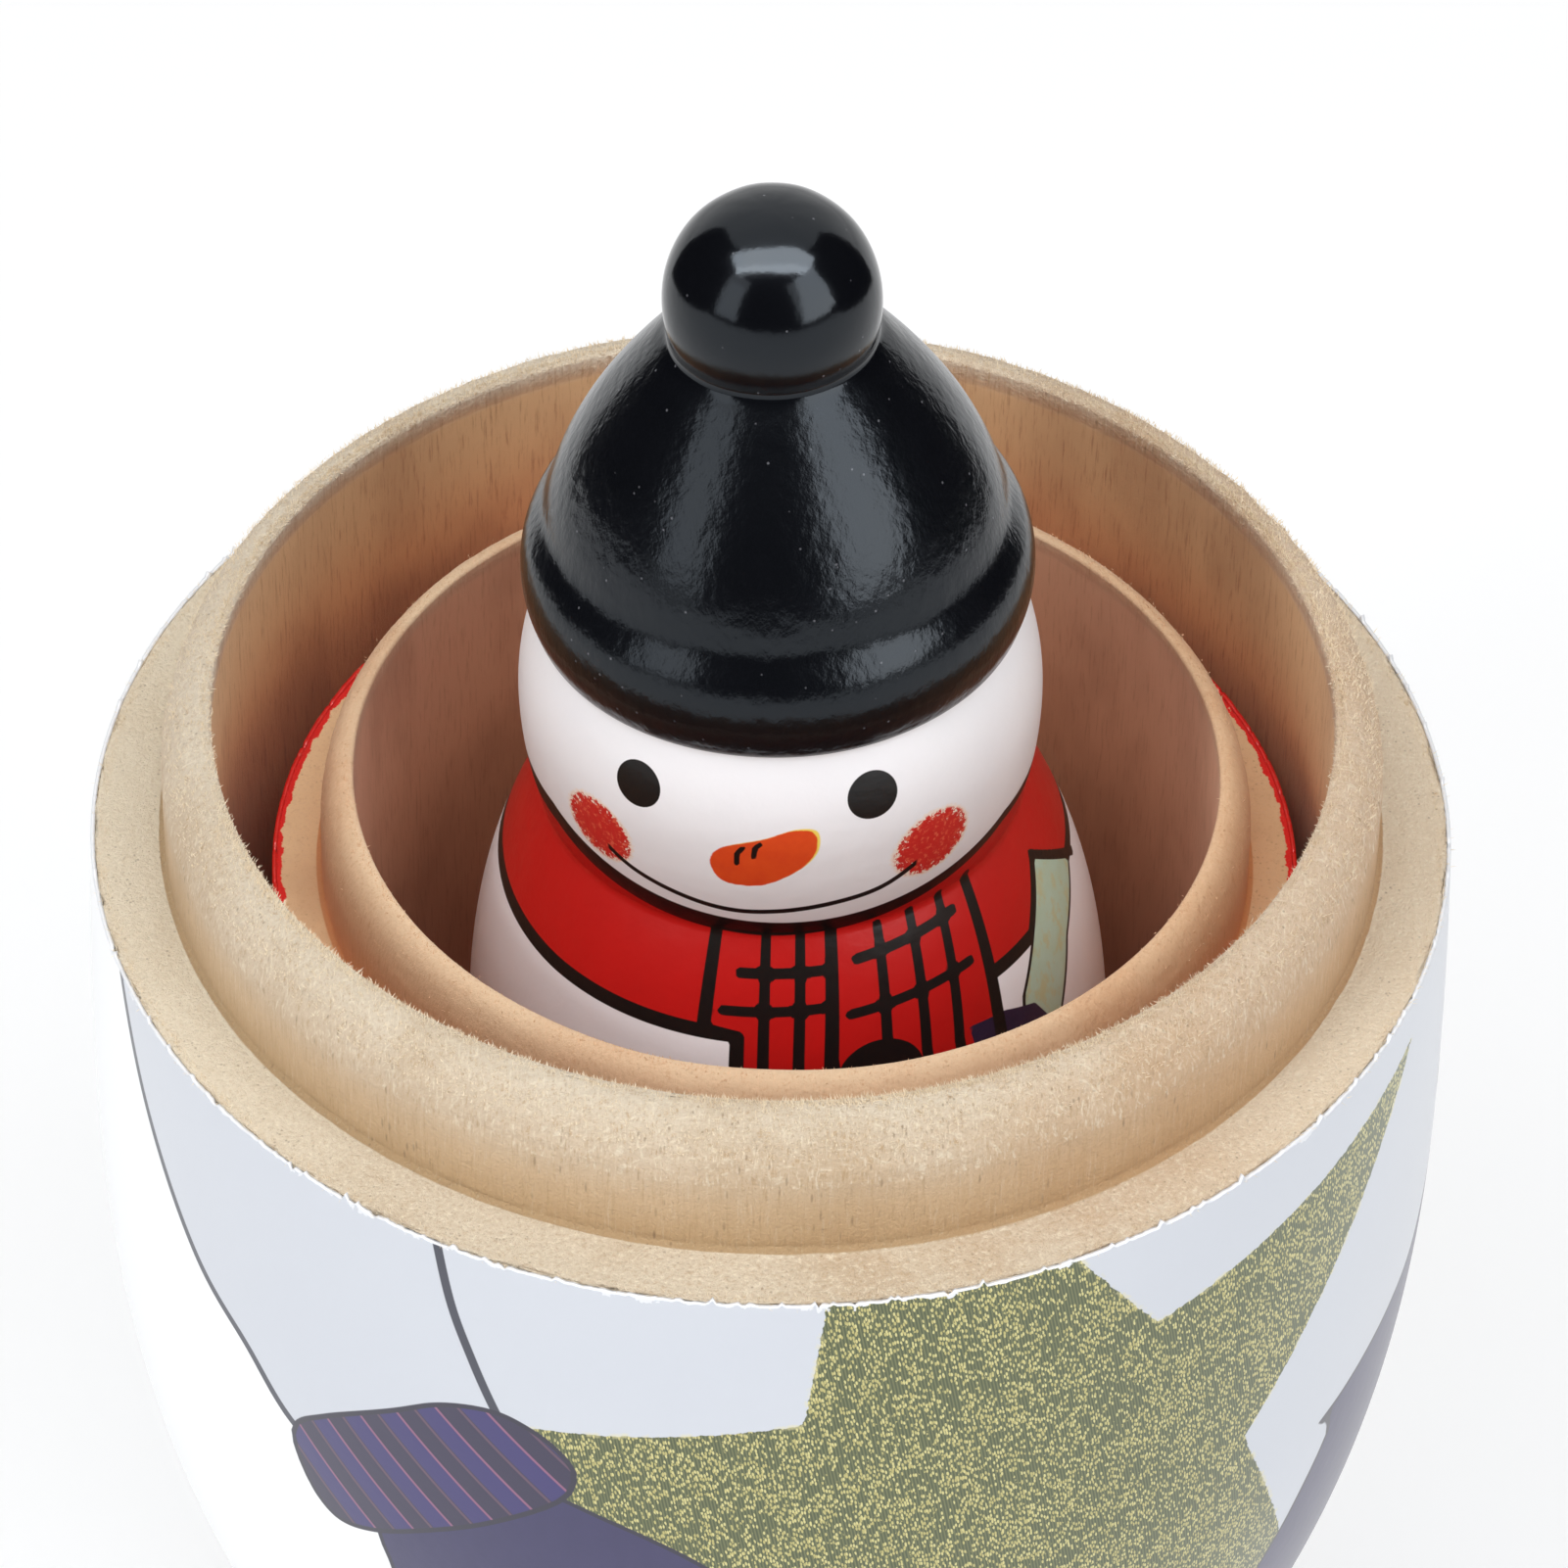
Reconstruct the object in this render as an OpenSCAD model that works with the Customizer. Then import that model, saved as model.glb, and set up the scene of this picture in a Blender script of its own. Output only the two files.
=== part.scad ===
// Opened matryoshka nesting doll: two turned lower halves with their upper halves taken off,
// one standing in the other, and the smallest doll, a solid snowman, standing in the inner one.
// Millimetres. +Z is up, Z = 0 is the table, and the printed front faces -Y.

/* [Outer lower half] */
// Height of the outer half from foot to shoulder
outer_h = 70; // [60:1:80]
// Radius at the shoulder, over the film
outer_rim_r = 40; // [36:0.5:44]
// How much wider than the shoulder the belly is, in radius
outer_swell = 0.5; // [0.1:0.1:1.5]
// Height of the widest place above the foot
outer_belly_h = 52; // [44:1:58]
// Radius of the flat foot
outer_foot_r = 26; // [22:0.5:30]
// Rounding round the edge of the foot
outer_heel = 2; // [1:0.5:4]
// How late the side turns in towards the foot
outer_curve = 2.3; // [1.8:0.1:3]
// Width of the flat shoulder that the upper half rests on
outer_shoulder_w = 4.3; // [3.5:0.1:5]
// Height of the spigot over the shoulder
outer_spigot_h = 9; // [7:0.5:11]
// Wall of the spigot
outer_spigot_wall = 3; // [2.4:0.1:4]
// Rounding of the spigot's lip, inwards
outer_lip_w = 2; // [1:0.1:2]
// Rounding of the spigot's lip, downwards
outer_lip_h = 2.7; // [1:0.1:4]
// Thickness of the floor
outer_floor = 13; // [9:0.5:16]
// Radius of the flat floor inside
outer_floor_r = 21.5; // [20.8:0.1:24]
// Height of the rounded foot of the hollow
outer_bowl_h = 25; // [18:1:30]

/* [Middle lower half] */
// How far the middle shoulder lies below the outer shoulder
mid_drop = 3.3; // [2:0.1:5]
// How much wider than the shoulder the belly is, in radius
mid_swell = 0.3; // [0.1:0.1:0.8]
// Height of the widest place above the foot
mid_belly_h = 40; // [32:1:44]
// Radius of the flat foot
mid_foot_r = 19.7; // [17:0.1:20.2]
// Rounding round the edge of the foot
mid_heel = 1.5; // [1:0.1:3]
// How late the side turns in towards the foot
mid_curve = 2.3; // [1.8:0.1:3]
// Width of the flat shoulder that the upper half rests on
mid_shoulder_w = 2.9; // [2.4:0.1:3.5]
// Height of the spigot over the shoulder
mid_spigot_h = 7.3; // [5.5:0.1:9]
// Wall of the spigot
mid_spigot_wall = 2; // [1.6:0.1:2.6]
// Rounding of the spigot's lip, inwards
mid_lip_w = 1.1; // [0.6:0.1:1.2]
// Rounding of the spigot's lip, downwards
mid_lip_h = 1.8; // [0.8:0.1:3]
// Thickness of the floor
mid_floor = 10; // [7:0.5:13]
// Radius of the flat floor inside
mid_floor_r = 17.5; // [16.5:0.1:19]
// Height of the rounded foot of the hollow
mid_bowl_h = 20; // [14:1:25]

/* [Snowman] */
// Radius of the flat foot
doll_foot_r = 14.6; // [12:0.1:15.4]
// Rounding round the edge of the foot
doll_heel = 1.5; // [1:0.1:2.5]
// Radius of the belly at its widest
doll_belly_r = 19.3; // [17.5:0.1:21]
// Height of the widest place above the foot
doll_belly_h = 24.5; // [18:0.5:30]
// How late the belly turns in towards the foot
doll_low_curve = 2.2; // [1.8:0.1:3]
// How late the belly turns in towards the neck
doll_high_curve = 3; // [2:0.1:4]
// Radius at the neck
doll_neck_r = 14.2; // [12.5:0.1:14.8]
// Height of the neck above the foot
doll_neck_h = 51.1; // [46:0.1:55]
// Radius of the head at its widest
doll_head_r = 15.2; // [14.9:0.1:16.5]
// Height from the neck to the widest place of the head
doll_cheek_h = 6.9; // [5:0.1:9]
// Height from the widest place of the head to the hat
doll_brow_h = 6.8; // [5:0.1:9]
// Radius of the head where the hat begins
doll_brow_r = 13.8; // [13:0.1:14.4]
// Radius of the rolled brim at its widest
brim_r = 14.65; // [14.2:0.05:16]
// How far the brim rolls out past its own middle
brim_bulge = 2.9; // [1.8:0.1:3.4]
// Half the height of the rolled brim
brim_half_h = 4.65; // [4:0.05:6]
// How deep the roll of the brim reaches below the hat line
brim_tuck = 1.8; // [1:0.1:2.4]
// Radius of the crown of the hat at its base
crown_r = 13.8; // [12.5:0.1:14.2]
// Radius of the crown at its top, where the knob stands
crown_top_r = 6.6; // [6.3:0.1:8]
// Height of the crown above its base
crown_h = 13.5; // [11:0.1:16]
// How round the side of the crown is, 1 being a straight cone
crown_curve = 1.15; // [1:0.05:1.6]
// Height of the crown's base above the hat line
crown_base_h = 5.7; // [4:0.1:7]
// Radius of the round knob on the hat at its widest
knob_r = 6.15; // [6:0.05:7]
// Radius of the knob where it leaves the crown
knob_low_r = 5.8; // [5:0.05:5.9]
// Height from the crown to the widest place of the knob
knob_low_h = 2.4; // [1.5:0.1:4]
// Height from the widest place of the knob to its top
knob_top_h = 6.4; // [5:0.1:8]

/* [Printed film] */
// Thickness of the printed film with its white ground coat
film_t = 0.25; // [0.15:0.05:0.4]
// Height of the film's lower edge on the outer half
outer_film_low = 4; // [3:0.5:8]
// Height of the film's lower edge on the middle half
mid_film_low = 3.5; // [3:0.5:6]
// Height of the film's lower edge on the snowman
doll_film_low = 3; // [2.5:0.5:5]

/* [Fits and standing] */
// Free play in radius between the outer spigot's bore and the middle shoulder
nest_gap = 2.4; // [2:0.1:3]
// Rounding of the inner edge of each spigot
inner_edge = 0.5; // [0.3:0.1:0.8]
// How far right of the outer axis the middle half stands in its play
mid_shift = 0.85; // [0:0.05:1]
// How far right of the outer axis the snowman's foot stands
doll_shift = 2.2; // [0:0.1:2.5]
// How far the snowman leans to the left, in degrees, from a foot cut out of square
doll_lean = 1.8; // [0:0.1:2]

/* [Hidden] */
$fn = 180;
steps = 28;
quarter = 90;
even_curve = 2;
outer_spigot_r = outer_rim_r - outer_shoulder_w;
outer_bore_r = outer_spigot_r - outer_spigot_wall;
outer_belly_r = outer_rim_r + outer_swell;
mid_rim_r = outer_bore_r - nest_gap;
mid_h = outer_h - outer_floor - mid_drop;
mid_spigot_r = mid_rim_r - mid_shoulder_w;
mid_bore_r = mid_spigot_r - mid_spigot_wall;
mid_belly_r = mid_rim_r + mid_swell;
doll_z = outer_floor + mid_floor;
hat_h = doll_neck_h + doll_cheek_h + doll_brow_h;
crown_z = hat_h + crown_base_h;
knob_z = crown_z + crown_h;
foot_sink = doll_foot_r * sin(doll_lean);
reach = outer_rim_r + outer_rim_r;
bare_wood = [0.84, 0.74, 0.58];
peach_wood = [0.80, 0.62, 0.45];
white_film = [0.90, 0.92, 0.94];
red_film = [0.78, 0.12, 0.09];
snow_film = [0.95, 0.94, 0.93];
black_lacquer = [0.03, 0.03, 0.04];

// Quarter round at the edge of a foot, from the flat up to the side.
function heel_arc(foot, heel) =
    [for (i = [0 : steps]) let (a = quarter * i / steps) [foot + heel * sin(a), heel - heel * cos(a)]];

// Side that leaves the radius from at height z0 and reaches the widest radius to at height z1.
function rise(from, z0, to, z1, late) =
    [for (i = [1 : steps]) let (t = 1 - i / steps) [to - (to - from) * pow(t, late), z1 - (z1 - z0) * t]];

// Side that leaves the widest radius from at height z0 and draws in to the radius to at height z1.
function draw_in(from, z0, to, z1, late) =
    [for (i = [1 : steps]) let (t = i / steps) [from - (from - to) * pow(t, late), z0 + (z1 - z0) * t]];

// Turned outside of a lower half, from the edge of the foot to the shoulder.
function half_side(foot, heel, belly, belly_h, rim, h, late) = concat(
    heel_arc(foot, heel),
    rise(foot + heel, heel, belly, belly_h, late),
    draw_in(belly, belly_h, rim, h, even_curve));

// Spigot from the shoulder up, over its rounded lip and down the bore to the bowl.
function spigot_side(r, bore, h, top, lip_w, lip_h, bend) = concat(
    [[r, h]],
    [for (i = [0 : steps]) let (a = quarter * i / steps)
        [r - lip_w + lip_w * cos(a), top - lip_h + lip_h * sin(a)]],
    [for (i = [0 : steps]) let (a = quarter * i / steps)
        [bore + inner_edge - inner_edge * sin(a), top - inner_edge + inner_edge * cos(a)]],
    [[bore, bend]]);

// Rounded foot of the hollow, from the bore down to the flat floor.
function bowl_side(bore, floor_r, floor_z, bowl_h) =
    [for (i = [1 : steps]) let (a = quarter * i / steps)
        [floor_r + (bore - floor_r) * cos(a), floor_z + bowl_h - bowl_h * sin(a)]];

outer_side = half_side(outer_foot_r, outer_heel, outer_belly_r, outer_belly_h,
    outer_rim_r, outer_h, outer_curve);
mid_side = half_side(mid_foot_r, mid_heel, mid_belly_r, mid_belly_h, mid_rim_r, mid_h, mid_curve);
doll_side = concat(
    heel_arc(doll_foot_r, doll_heel),
    rise(doll_foot_r + doll_heel, doll_heel, doll_belly_r, doll_belly_h, doll_low_curve),
    draw_in(doll_belly_r, doll_belly_h, doll_neck_r, doll_neck_h, doll_high_curve),
    rise(doll_neck_r, doll_neck_h, doll_head_r, doll_neck_h + doll_cheek_h, even_curve),
    draw_in(doll_head_r, doll_neck_h + doll_cheek_h, doll_brow_r, hat_h, even_curve));

// Section of a solid turned to the given side, up to the given height.
module filled(side, top) {
    polygon(concat([[0, 0]], side, [[0, top]]));
}

// Section of the thin film that lies on a side between two heights.
module film_section(side, low, top) {
    difference() {
        intersection() {
            filled(side, top);
            translate([0, low])
                square([reach, top - low]);
        }
        translate([-film_t, 0])
            filled(side, top);
    }
}

// Section of the rolled brim.
module brim_section() {
    polygon(concat(
        [[0, hat_h]],
        [for (i = [-steps : steps]) let (a = quarter * i / steps,
            z = hat_h - brim_tuck + brim_half_h + brim_half_h * sin(a))
            if (z > hat_h) [brim_r - brim_bulge + brim_bulge * cos(a), z]],
        [[0, hat_h - brim_tuck + brim_half_h + brim_half_h]]));
}

// Section of the crown of the hat, nearly a cone.
module crown_section() {
    polygon(concat(
        [[0, hat_h], [crown_r, hat_h], [crown_r, crown_z]],
        draw_in(crown_r, crown_z, crown_top_r, knob_z, crown_curve),
        [[0, knob_z]]));
}

// Section of the knob on the hat, drawn in a little where it leaves the crown.
module knob_section() {
    polygon(concat(
        [[0, hat_h], [knob_low_r, hat_h], [knob_low_r, knob_z]],
        rise(knob_low_r, knob_z, knob_r, knob_z + knob_low_h, even_curve),
        [for (i = [1 : steps]) let (a = quarter * i / steps)
            [knob_r * cos(a), knob_z + knob_low_h + knob_top_h * sin(a)]]));
}

// Stands a turned piece on the middle floor, leaning to the left.
module leaning() {
    translate([doll_shift, 0, doll_z - foot_sink])
        rotate([0, -doll_lean, 0])
            children();
}

// Outer lower half: raw basswood, hollow, with the spigot that its upper half pushes over.
module outer_base() {
    top = outer_h + outer_spigot_h;
    color(bare_wood)
        rotate_extrude()
            difference() {
                polygon(concat(
                    [[0, 0]],
                    outer_side,
                    spigot_side(outer_spigot_r, outer_bore_r, outer_h, top, outer_lip_w, outer_lip_h,
                        outer_floor + outer_bowl_h),
                    bowl_side(outer_bore_r, outer_floor_r, outer_floor, outer_bowl_h),
                    [[0, outer_floor]]));
                film_section(outer_side, outer_film_low, outer_h);
            }
}

// Printed film round the outer half, flush with its shoulder.
module outer_film() {
    color(white_film)
        rotate_extrude()
            film_section(outer_side, outer_film_low, outer_h);
}

// Middle lower half, standing in the hollow of the outer one.
module middle_base() {
    top = mid_h + mid_spigot_h;
    color(peach_wood)
        translate([mid_shift, 0, outer_floor])
            rotate_extrude()
                difference() {
                    polygon(concat(
                        [[0, 0]],
                        mid_side,
                        spigot_side(mid_spigot_r, mid_bore_r, mid_h, top, mid_lip_w, mid_lip_h,
                            mid_floor + mid_bowl_h),
                        bowl_side(mid_bore_r, mid_floor_r, mid_floor, mid_bowl_h),
                        [[0, mid_floor]]));
                    film_section(mid_side, mid_film_low, mid_h);
                }
}

// Red printed film round the middle half.
module middle_film() {
    color(red_film)
        translate([mid_shift, 0, outer_floor])
            rotate_extrude()
                film_section(mid_side, mid_film_low, mid_h);
}

// Snowman turned from one solid blank, with its hat and knob lacquered black, its foot cut flat.
module snowman() {
    color(black_lacquer)
        difference() {
            leaning()
                rotate_extrude()
                    difference() {
                        union() {
                            filled(doll_side, hat_h);
                            brim_section();
                            crown_section();
                            knob_section();
                        }
                        film_section(doll_side, doll_film_low, hat_h);
                    }
            translate([-reach, -reach, doll_z - reach])
                cube([reach + reach, reach + reach, reach]);
        }
}

// Printed film round the snowman's body and head, up to the brim.
module snowman_film() {
    color(snow_film)
        leaning()
            rotate_extrude()
                film_section(doll_side, doll_film_low, hat_h);
}

outer_base();
outer_film();
middle_base();
middle_film();
snowman();
snowman_film();
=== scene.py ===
# %% [markdown]
# # An opened nesting doll
# The real thing is turned on a lathe from basswood. Two lower halves stand one in the other with
# their upper halves taken off, and a small solid snowman stands in the inner one. Each piece wears
# a thin printed film. This lesson builds every visible piece as a surface of two parameters, the
# angle round the lathe axis and the way along a section, because that is how the pieces are made.

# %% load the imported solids
import bpy
import numpy as np
from mathutils import Matrix


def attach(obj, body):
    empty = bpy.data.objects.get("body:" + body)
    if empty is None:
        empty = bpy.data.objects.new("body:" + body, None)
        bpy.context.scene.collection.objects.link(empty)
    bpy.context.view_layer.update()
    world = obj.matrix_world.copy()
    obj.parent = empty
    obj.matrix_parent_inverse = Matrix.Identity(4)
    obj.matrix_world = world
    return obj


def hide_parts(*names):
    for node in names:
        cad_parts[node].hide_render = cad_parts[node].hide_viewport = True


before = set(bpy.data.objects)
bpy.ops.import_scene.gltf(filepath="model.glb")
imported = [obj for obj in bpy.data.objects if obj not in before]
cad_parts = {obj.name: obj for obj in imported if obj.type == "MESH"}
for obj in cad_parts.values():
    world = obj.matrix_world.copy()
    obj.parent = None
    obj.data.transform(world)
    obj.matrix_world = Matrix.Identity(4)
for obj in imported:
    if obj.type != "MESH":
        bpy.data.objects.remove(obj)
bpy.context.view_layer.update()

MM = 0.001
TURN = 2 * np.pi
scene = bpy.context.scene
scene.view_settings.view_transform = "Standard"

# %% [markdown]
# ## The camera
# The photograph looks down at the open doll at about 43 degrees with a long lens, a little tilted.
# The camera is aimed just beside the middle of the outer shoulder, so that the rims land where the
# photograph has them. Long lens and distance belong together: they set how round the rims look.

# %% camera
VIEW_PIXELS = 1601
FOCAL_PIXELS = 8000
SENSOR = 36.0
shoulder = np.array([0.0, 0.0, 70.0])
elevation = np.radians(42.92)
distance = 461.6
roll = np.radians(1.2)
aim_right, aim_up = 0.71, 1.62
back = np.array([0.0, -np.cos(elevation), np.sin(elevation)])
right = np.array([1.0, 0.0, 0.0])
up = np.cross(back, right)
eye = shoulder + back * distance + right * aim_right + up * aim_up
rolled_right = np.cos(roll) * right + np.sin(roll) * up
rolled_up = np.cos(roll) * up - np.sin(roll) * right
camera_data = bpy.data.cameras.new("camera")
camera_data.sensor_fit = "HORIZONTAL"
camera_data.sensor_width = SENSOR
camera_data.lens = FOCAL_PIXELS * SENSOR / VIEW_PIXELS
camera_data.clip_start = 0.02
camera_data.clip_end = 20.0
camera = bpy.data.objects.new("camera", camera_data)
scene.collection.objects.link(camera)
pose = np.eye(4)
pose[:3, 0], pose[:3, 1], pose[:3, 2], pose[:3, 3] = rolled_right, rolled_up, back, eye * MM
camera.matrix_world = Matrix(pose.tolist())
scene.camera = camera
print("lens", round(camera_data.lens, 1), "mm at", distance, "mm")

# %% [markdown]
# ## Turning a section into a mesh
# Everything here is turned, so one helper is enough. It takes the radius and height of every point
# of a grid, one row along the section and one column round the axis, in millimetres. The angle is
# zero at the front and grows towards the viewer's right, which keeps every face pointing outwards
# when the section runs up the outside. Two small helpers go with it: one keeps a number at every point
# for the finish to read, and one draws a closed wavy line for edges that no lathe leaves quite even.

# %% lathe helper
def turned_mesh(name, radius, height, shift=0.0, poles=True):
    """x = shift + r sin(angle), y = -r cos(angle), z = height, on a grid of rows by columns.
    With poles, the first and last row close in a fan on the axis; without, the last row joins the first."""
    rows, columns = radius.shape
    angle = TURN * np.arange(columns) / columns
    points = np.stack([shift + radius * np.sin(angle), -radius * np.cos(angle), height], -1).reshape(-1, 3)
    column = np.arange(columns)
    beside = (column + 1) % columns
    low = np.arange(rows - 1 if poles else rows)[:, None] * columns
    high = ((np.arange(rows - 1 if poles else rows) + 1) % rows)[:, None] * columns
    quads = np.stack([low + column, low + beside, high + beside, high + column], -1).reshape(-1, 4)
    faces = quads.tolist()
    if poles:
        ends = np.array([[shift, 0.0, height[0].mean()], [shift, 0.0, height[-1].mean()]])
        points = np.concatenate([points, ends])
        first = np.full(columns, rows * columns)
        faces += np.stack([first, beside, column], -1).tolist()
        last = (rows - 1) * columns
        faces += np.stack([last + column, last + beside, first + 1], -1).tolist()
    mesh = bpy.data.meshes.new(name)
    mesh.from_pydata((points * MM).tolist(), [], faces)
    mesh.polygons.foreach_set("use_smooth", np.ones(len(mesh.polygons), dtype=bool))
    mesh.update()
    piece = bpy.data.objects.new(name, mesh)
    scene.collection.objects.link(piece)
    print(name, len(points), "points", len(faces), "faces")
    return piece


def store(piece, name, values, fill=0.0):
    """Keeps one number for every point of a piece, for its finish to read; poles get the fill."""
    values = np.asarray(values, dtype=np.float32).ravel()
    spare = len(piece.data.vertices) - len(values)
    values = np.concatenate([values, np.full(spare, fill, dtype=np.float32)])
    layer = piece.data.attributes.new(name, "FLOAT", "POINT")
    layer.data.foreach_set("value", values)


def wander(angle, seed, slowest, fastest, fall):
    """Sum of cosines of whole frequencies with random phases: a closed wavy line of height about 1,
    the same for the same seed."""
    draw = np.random.default_rng(seed)
    frequency = np.arange(slowest, fastest + 1)
    phase = draw.uniform(0, TURN, len(frequency))
    weight = draw.normal(size=len(frequency)) * frequency ** -fall
    wave = (weight[:, None] * np.cos(frequency[:, None] * angle + phase[:, None])).sum(0)
    return wave / np.abs(wave).max()


print("five points of a wavy line", wander(np.linspace(0, TURN, 5), 1, 1, 4, 1.0).round(2))

# %% [markdown]
# ## The lower halves
# A half is one closed section: flat foot, rounded heel, curved side, flat shoulder, straight spigot
# with a soft lip, straight bore and a bowl. The sizes are the same as those of the solids. The wood
# under the film is set back by the film's thickness, so that both lie inside the solid's outline.

# %% sizes of the halves
FILM = 0.25
outer = dict(z0=0.0, x0=0.0, h=70.0, rim=40.0, belly=40.5, belly_h=52.0, foot=26.0, heel=2.0, late=2.3,
             spigot=35.7, bore=32.7, spigot_h=9.0, lip_w=2.55, lip_h=4.3, inner=0.3,
             floor=13.0, floor_r=21.5, bowl=25.0, film_low=4.0)
middle = dict(z0=13.0, x0=0.85, h=53.7, rim=30.3, belly=30.6, belly_h=40.0, foot=19.7, heel=1.5, late=2.3,
              spigot=27.4, bore=25.4, spigot_h=7.3, lip_w=1.75, lip_h=4.0, inner=0.2,
              floor=10.0, floor_r=17.5, bowl=20.0, film_low=3.5)
print("outer half", 2 * outer["belly"], "mm across, middle half", 2 * middle["belly"], "mm")


# %% section of a half
def half_side(z, s):
    """Radius of a half's outside: under the belly it falls with a power of the depth, over it with
    the square of the height."""
    heel_r = s["foot"] + s["heel"]
    below = np.clip((s["belly_h"] - z) / (s["belly_h"] - s["heel"]), 0, 1)
    above = np.clip((z - s["belly_h"]) / (s["h"] - s["belly_h"]), 0, 1)
    return s["belly"] - (s["belly"] - heel_r) * below ** s["late"] - (s["belly"] - s["rim"]) * above ** 2


def half_section(s, edge):
    """Rows of (radius, height, zone) along a half's section. Zones: 0 foot and side, 1 shoulder,
    2 spigot wall, 3 lip, 4 bore, 5 bowl and floor. edge is the rounding of the shoulder's edge."""
    quarter = np.linspace(0, np.pi / 2, 12)
    top = s["h"] + s["spigot_h"]
    wood_rim = s["rim"] - FILM
    rows = []

    def add(r, z, zone):
        """Adds rows of one zone; a single radius or height is repeated for all of them."""
        r, z = np.broadcast_arrays(np.asarray(r, float), np.asarray(z, float))
        rows.append(np.stack([r, z, np.full(r.shape, float(zone))], -1))

    add(np.linspace(1.5, s["foot"], 9)[:-1], 0.0, 0)
    add(s["foot"] + s["heel"] * np.sin(quarter), s["heel"] * (1 - np.cos(quarter)), 0)
    bare = np.linspace(s["heel"], s["film_low"], 5)[1:]
    add(half_side(bare, s), bare, 0)
    hidden = np.linspace(s["film_low"] + 0.02, s["h"] - edge, 26)
    add(half_side(hidden, s) - FILM - 0.02, hidden, 0)
    add(wood_rim - edge * (1 - np.cos(quarter[1:])), s["h"] - edge * (1 - np.sin(quarter[1:])), 1)
    root = 0.35
    add(np.linspace(wood_rim - edge, s["spigot"] + root, 16)[1:], s["h"], 1)
    add(s["spigot"] + root * (1 - np.sin(quarter[1:])), s["h"] + root * (1 - np.cos(quarter[1:])), 2)
    add(s["spigot"], np.linspace(s["h"] + root, top - s["lip_h"], 20)[1:], 2)
    wide = np.linspace(0, np.pi / 2, 22)[1:]
    add(s["spigot"] - s["lip_w"] * (1 - np.cos(wide)), top - s["lip_h"] * (1 - np.sin(wide)), 3)
    add(np.linspace(s["spigot"] - s["lip_w"], s["bore"] + s["inner"], 6)[1:], top, 3)
    add(s["bore"] + s["inner"] * (1 - np.sin(quarter[1:])), top - s["inner"] * (1 - np.cos(quarter[1:])), 3)
    bend = s["floor"] + s["bowl"]
    add(s["bore"], np.linspace(top - s["inner"], bend, 30)[1:], 4)
    curve = np.linspace(0, np.pi / 2, 26)[1:]
    add(s["floor_r"] + (s["bore"] - s["floor_r"]) * np.cos(curve), bend - s["bowl"] * np.sin(curve), 5)
    add(np.linspace(s["floor_r"], 1.5, 8)[1:], s["floor"], 5)
    return np.concatenate(rows)


outer_rows = half_section(outer, 0.06)
middle_rows = half_section(middle, 0.1)
print("section rows", len(outer_rows), len(middle_rows))

# %% [markdown]
# ## Raw wood, turned
# The outer half was never sanded, so its lip and shoulder are rough. A little relief is added to the
# section there, largest on the lip. The middle half is smoother.

# %% wood of the halves
LIP_WAVE, SET_IN = 0.06, 0.03


def wooden_half(name, s, rows, columns, relief, seed):
    """The section turned round, with radius and height moved by smoothed noise, most on the lip,
    less on the shoulder and least on the spigot's wall. angle_sine, the sine of the angle, tells the
    finish where the outside is warmer in colour and where the shoulder gets its painted light."""
    angle = TURN * np.arange(columns) / columns
    draw = np.random.default_rng(seed)
    noise = draw.normal(size=(2, len(rows), columns))
    noise = (noise + np.roll(noise, 1, 2) + np.roll(noise, -1, 2) + np.roll(noise, 1, 1)) / 2
    zone = rows[:, 2]
    rough = relief * np.select([zone == 1, zone == 2, zone == 3], [0.7, 0.25, 1.0], 0.0)
    rough *= np.clip((rows[:, 0] - s["bore"]) / 0.8, 0.15, 1)
    slow = LIP_WAVE * np.isin(zone, (1, 3))[:, None] * wander(angle, seed + 1, 2, 14, 0.6)
    radius = rows[:, :1] + rough[:, None] * noise[0] - SET_IN * (zone > 1)[:, None]
    height = rows[:, 1:2] + rough[:, None] * noise[1] * 0.8 + slow
    height -= LIP_WAVE * np.isin(zone, (1, 3))[:, None]
    piece = turned_mesh(name, radius, height + s["z0"], s["x0"])
    store(piece, "zone", np.repeat(zone[:, None], columns, 1))
    store(piece, "angle_sine", np.broadcast_to(np.sin(angle), radius.shape))
    return piece


OUTER_AROUND, MIDDLE_AROUND = 480, 400
outer_wood = wooden_half("outer_wood", outer, outer_rows, OUTER_AROUND, relief=0.035, seed=11)
middle_wood = wooden_half("middle_wood", middle, middle_rows, MIDDLE_AROUND, relief=0.012, seed=12)

# %% [markdown]
# ## Printed film
# The film is a closed thin shell that follows the side. Its upper edge is torn: it wanders up and
# down round the rim, with a few chips. The height of that edge is worked out once for each column
# and the rows below it are spread evenly, so the tear is real geometry.

# %% film shell
LAP_AT, LAP_HALF, CROWDED = 183.0, 2.2, 1.5


def film_shell(name, side, low, top, columns, rows, inner_rows, shift, z0, lap=0.0):
    """Outside: height runs from low to the torn top of its column and the radius follows the side.
    Inside: the same, set in by the film's thickness. lap is the swelling where the film overlaps itself,
    at the back. Rows crowd towards the torn edge, by a power of the way up."""
    angle = TURN * np.arange(columns) / columns
    t = 1 - (1 - np.linspace(0, 1, rows)[:, None]) ** CROWDED
    t_in = 1 - (1 - np.linspace(1, 0, inner_rows)[:, None]) ** CROWDED
    height = np.concatenate([low + (top - low) * t, low + (top - low) * t_in])
    radius = side(height)
    strip = np.exp(-((np.degrees(angle) - LAP_AT) / LAP_HALF) ** 6)
    radius[:rows] += lap * strip
    radius[rows:] -= FILM
    piece = turned_mesh(name, radius, height + z0, shift, poles=False)
    turned = np.where(angle > np.pi, angle - TURN, angle)
    grid_angle = np.broadcast_to(turned, height.shape)
    below_edge = np.broadcast_to(top, height.shape) - height
    return piece, grid_angle, height, below_edge


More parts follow.
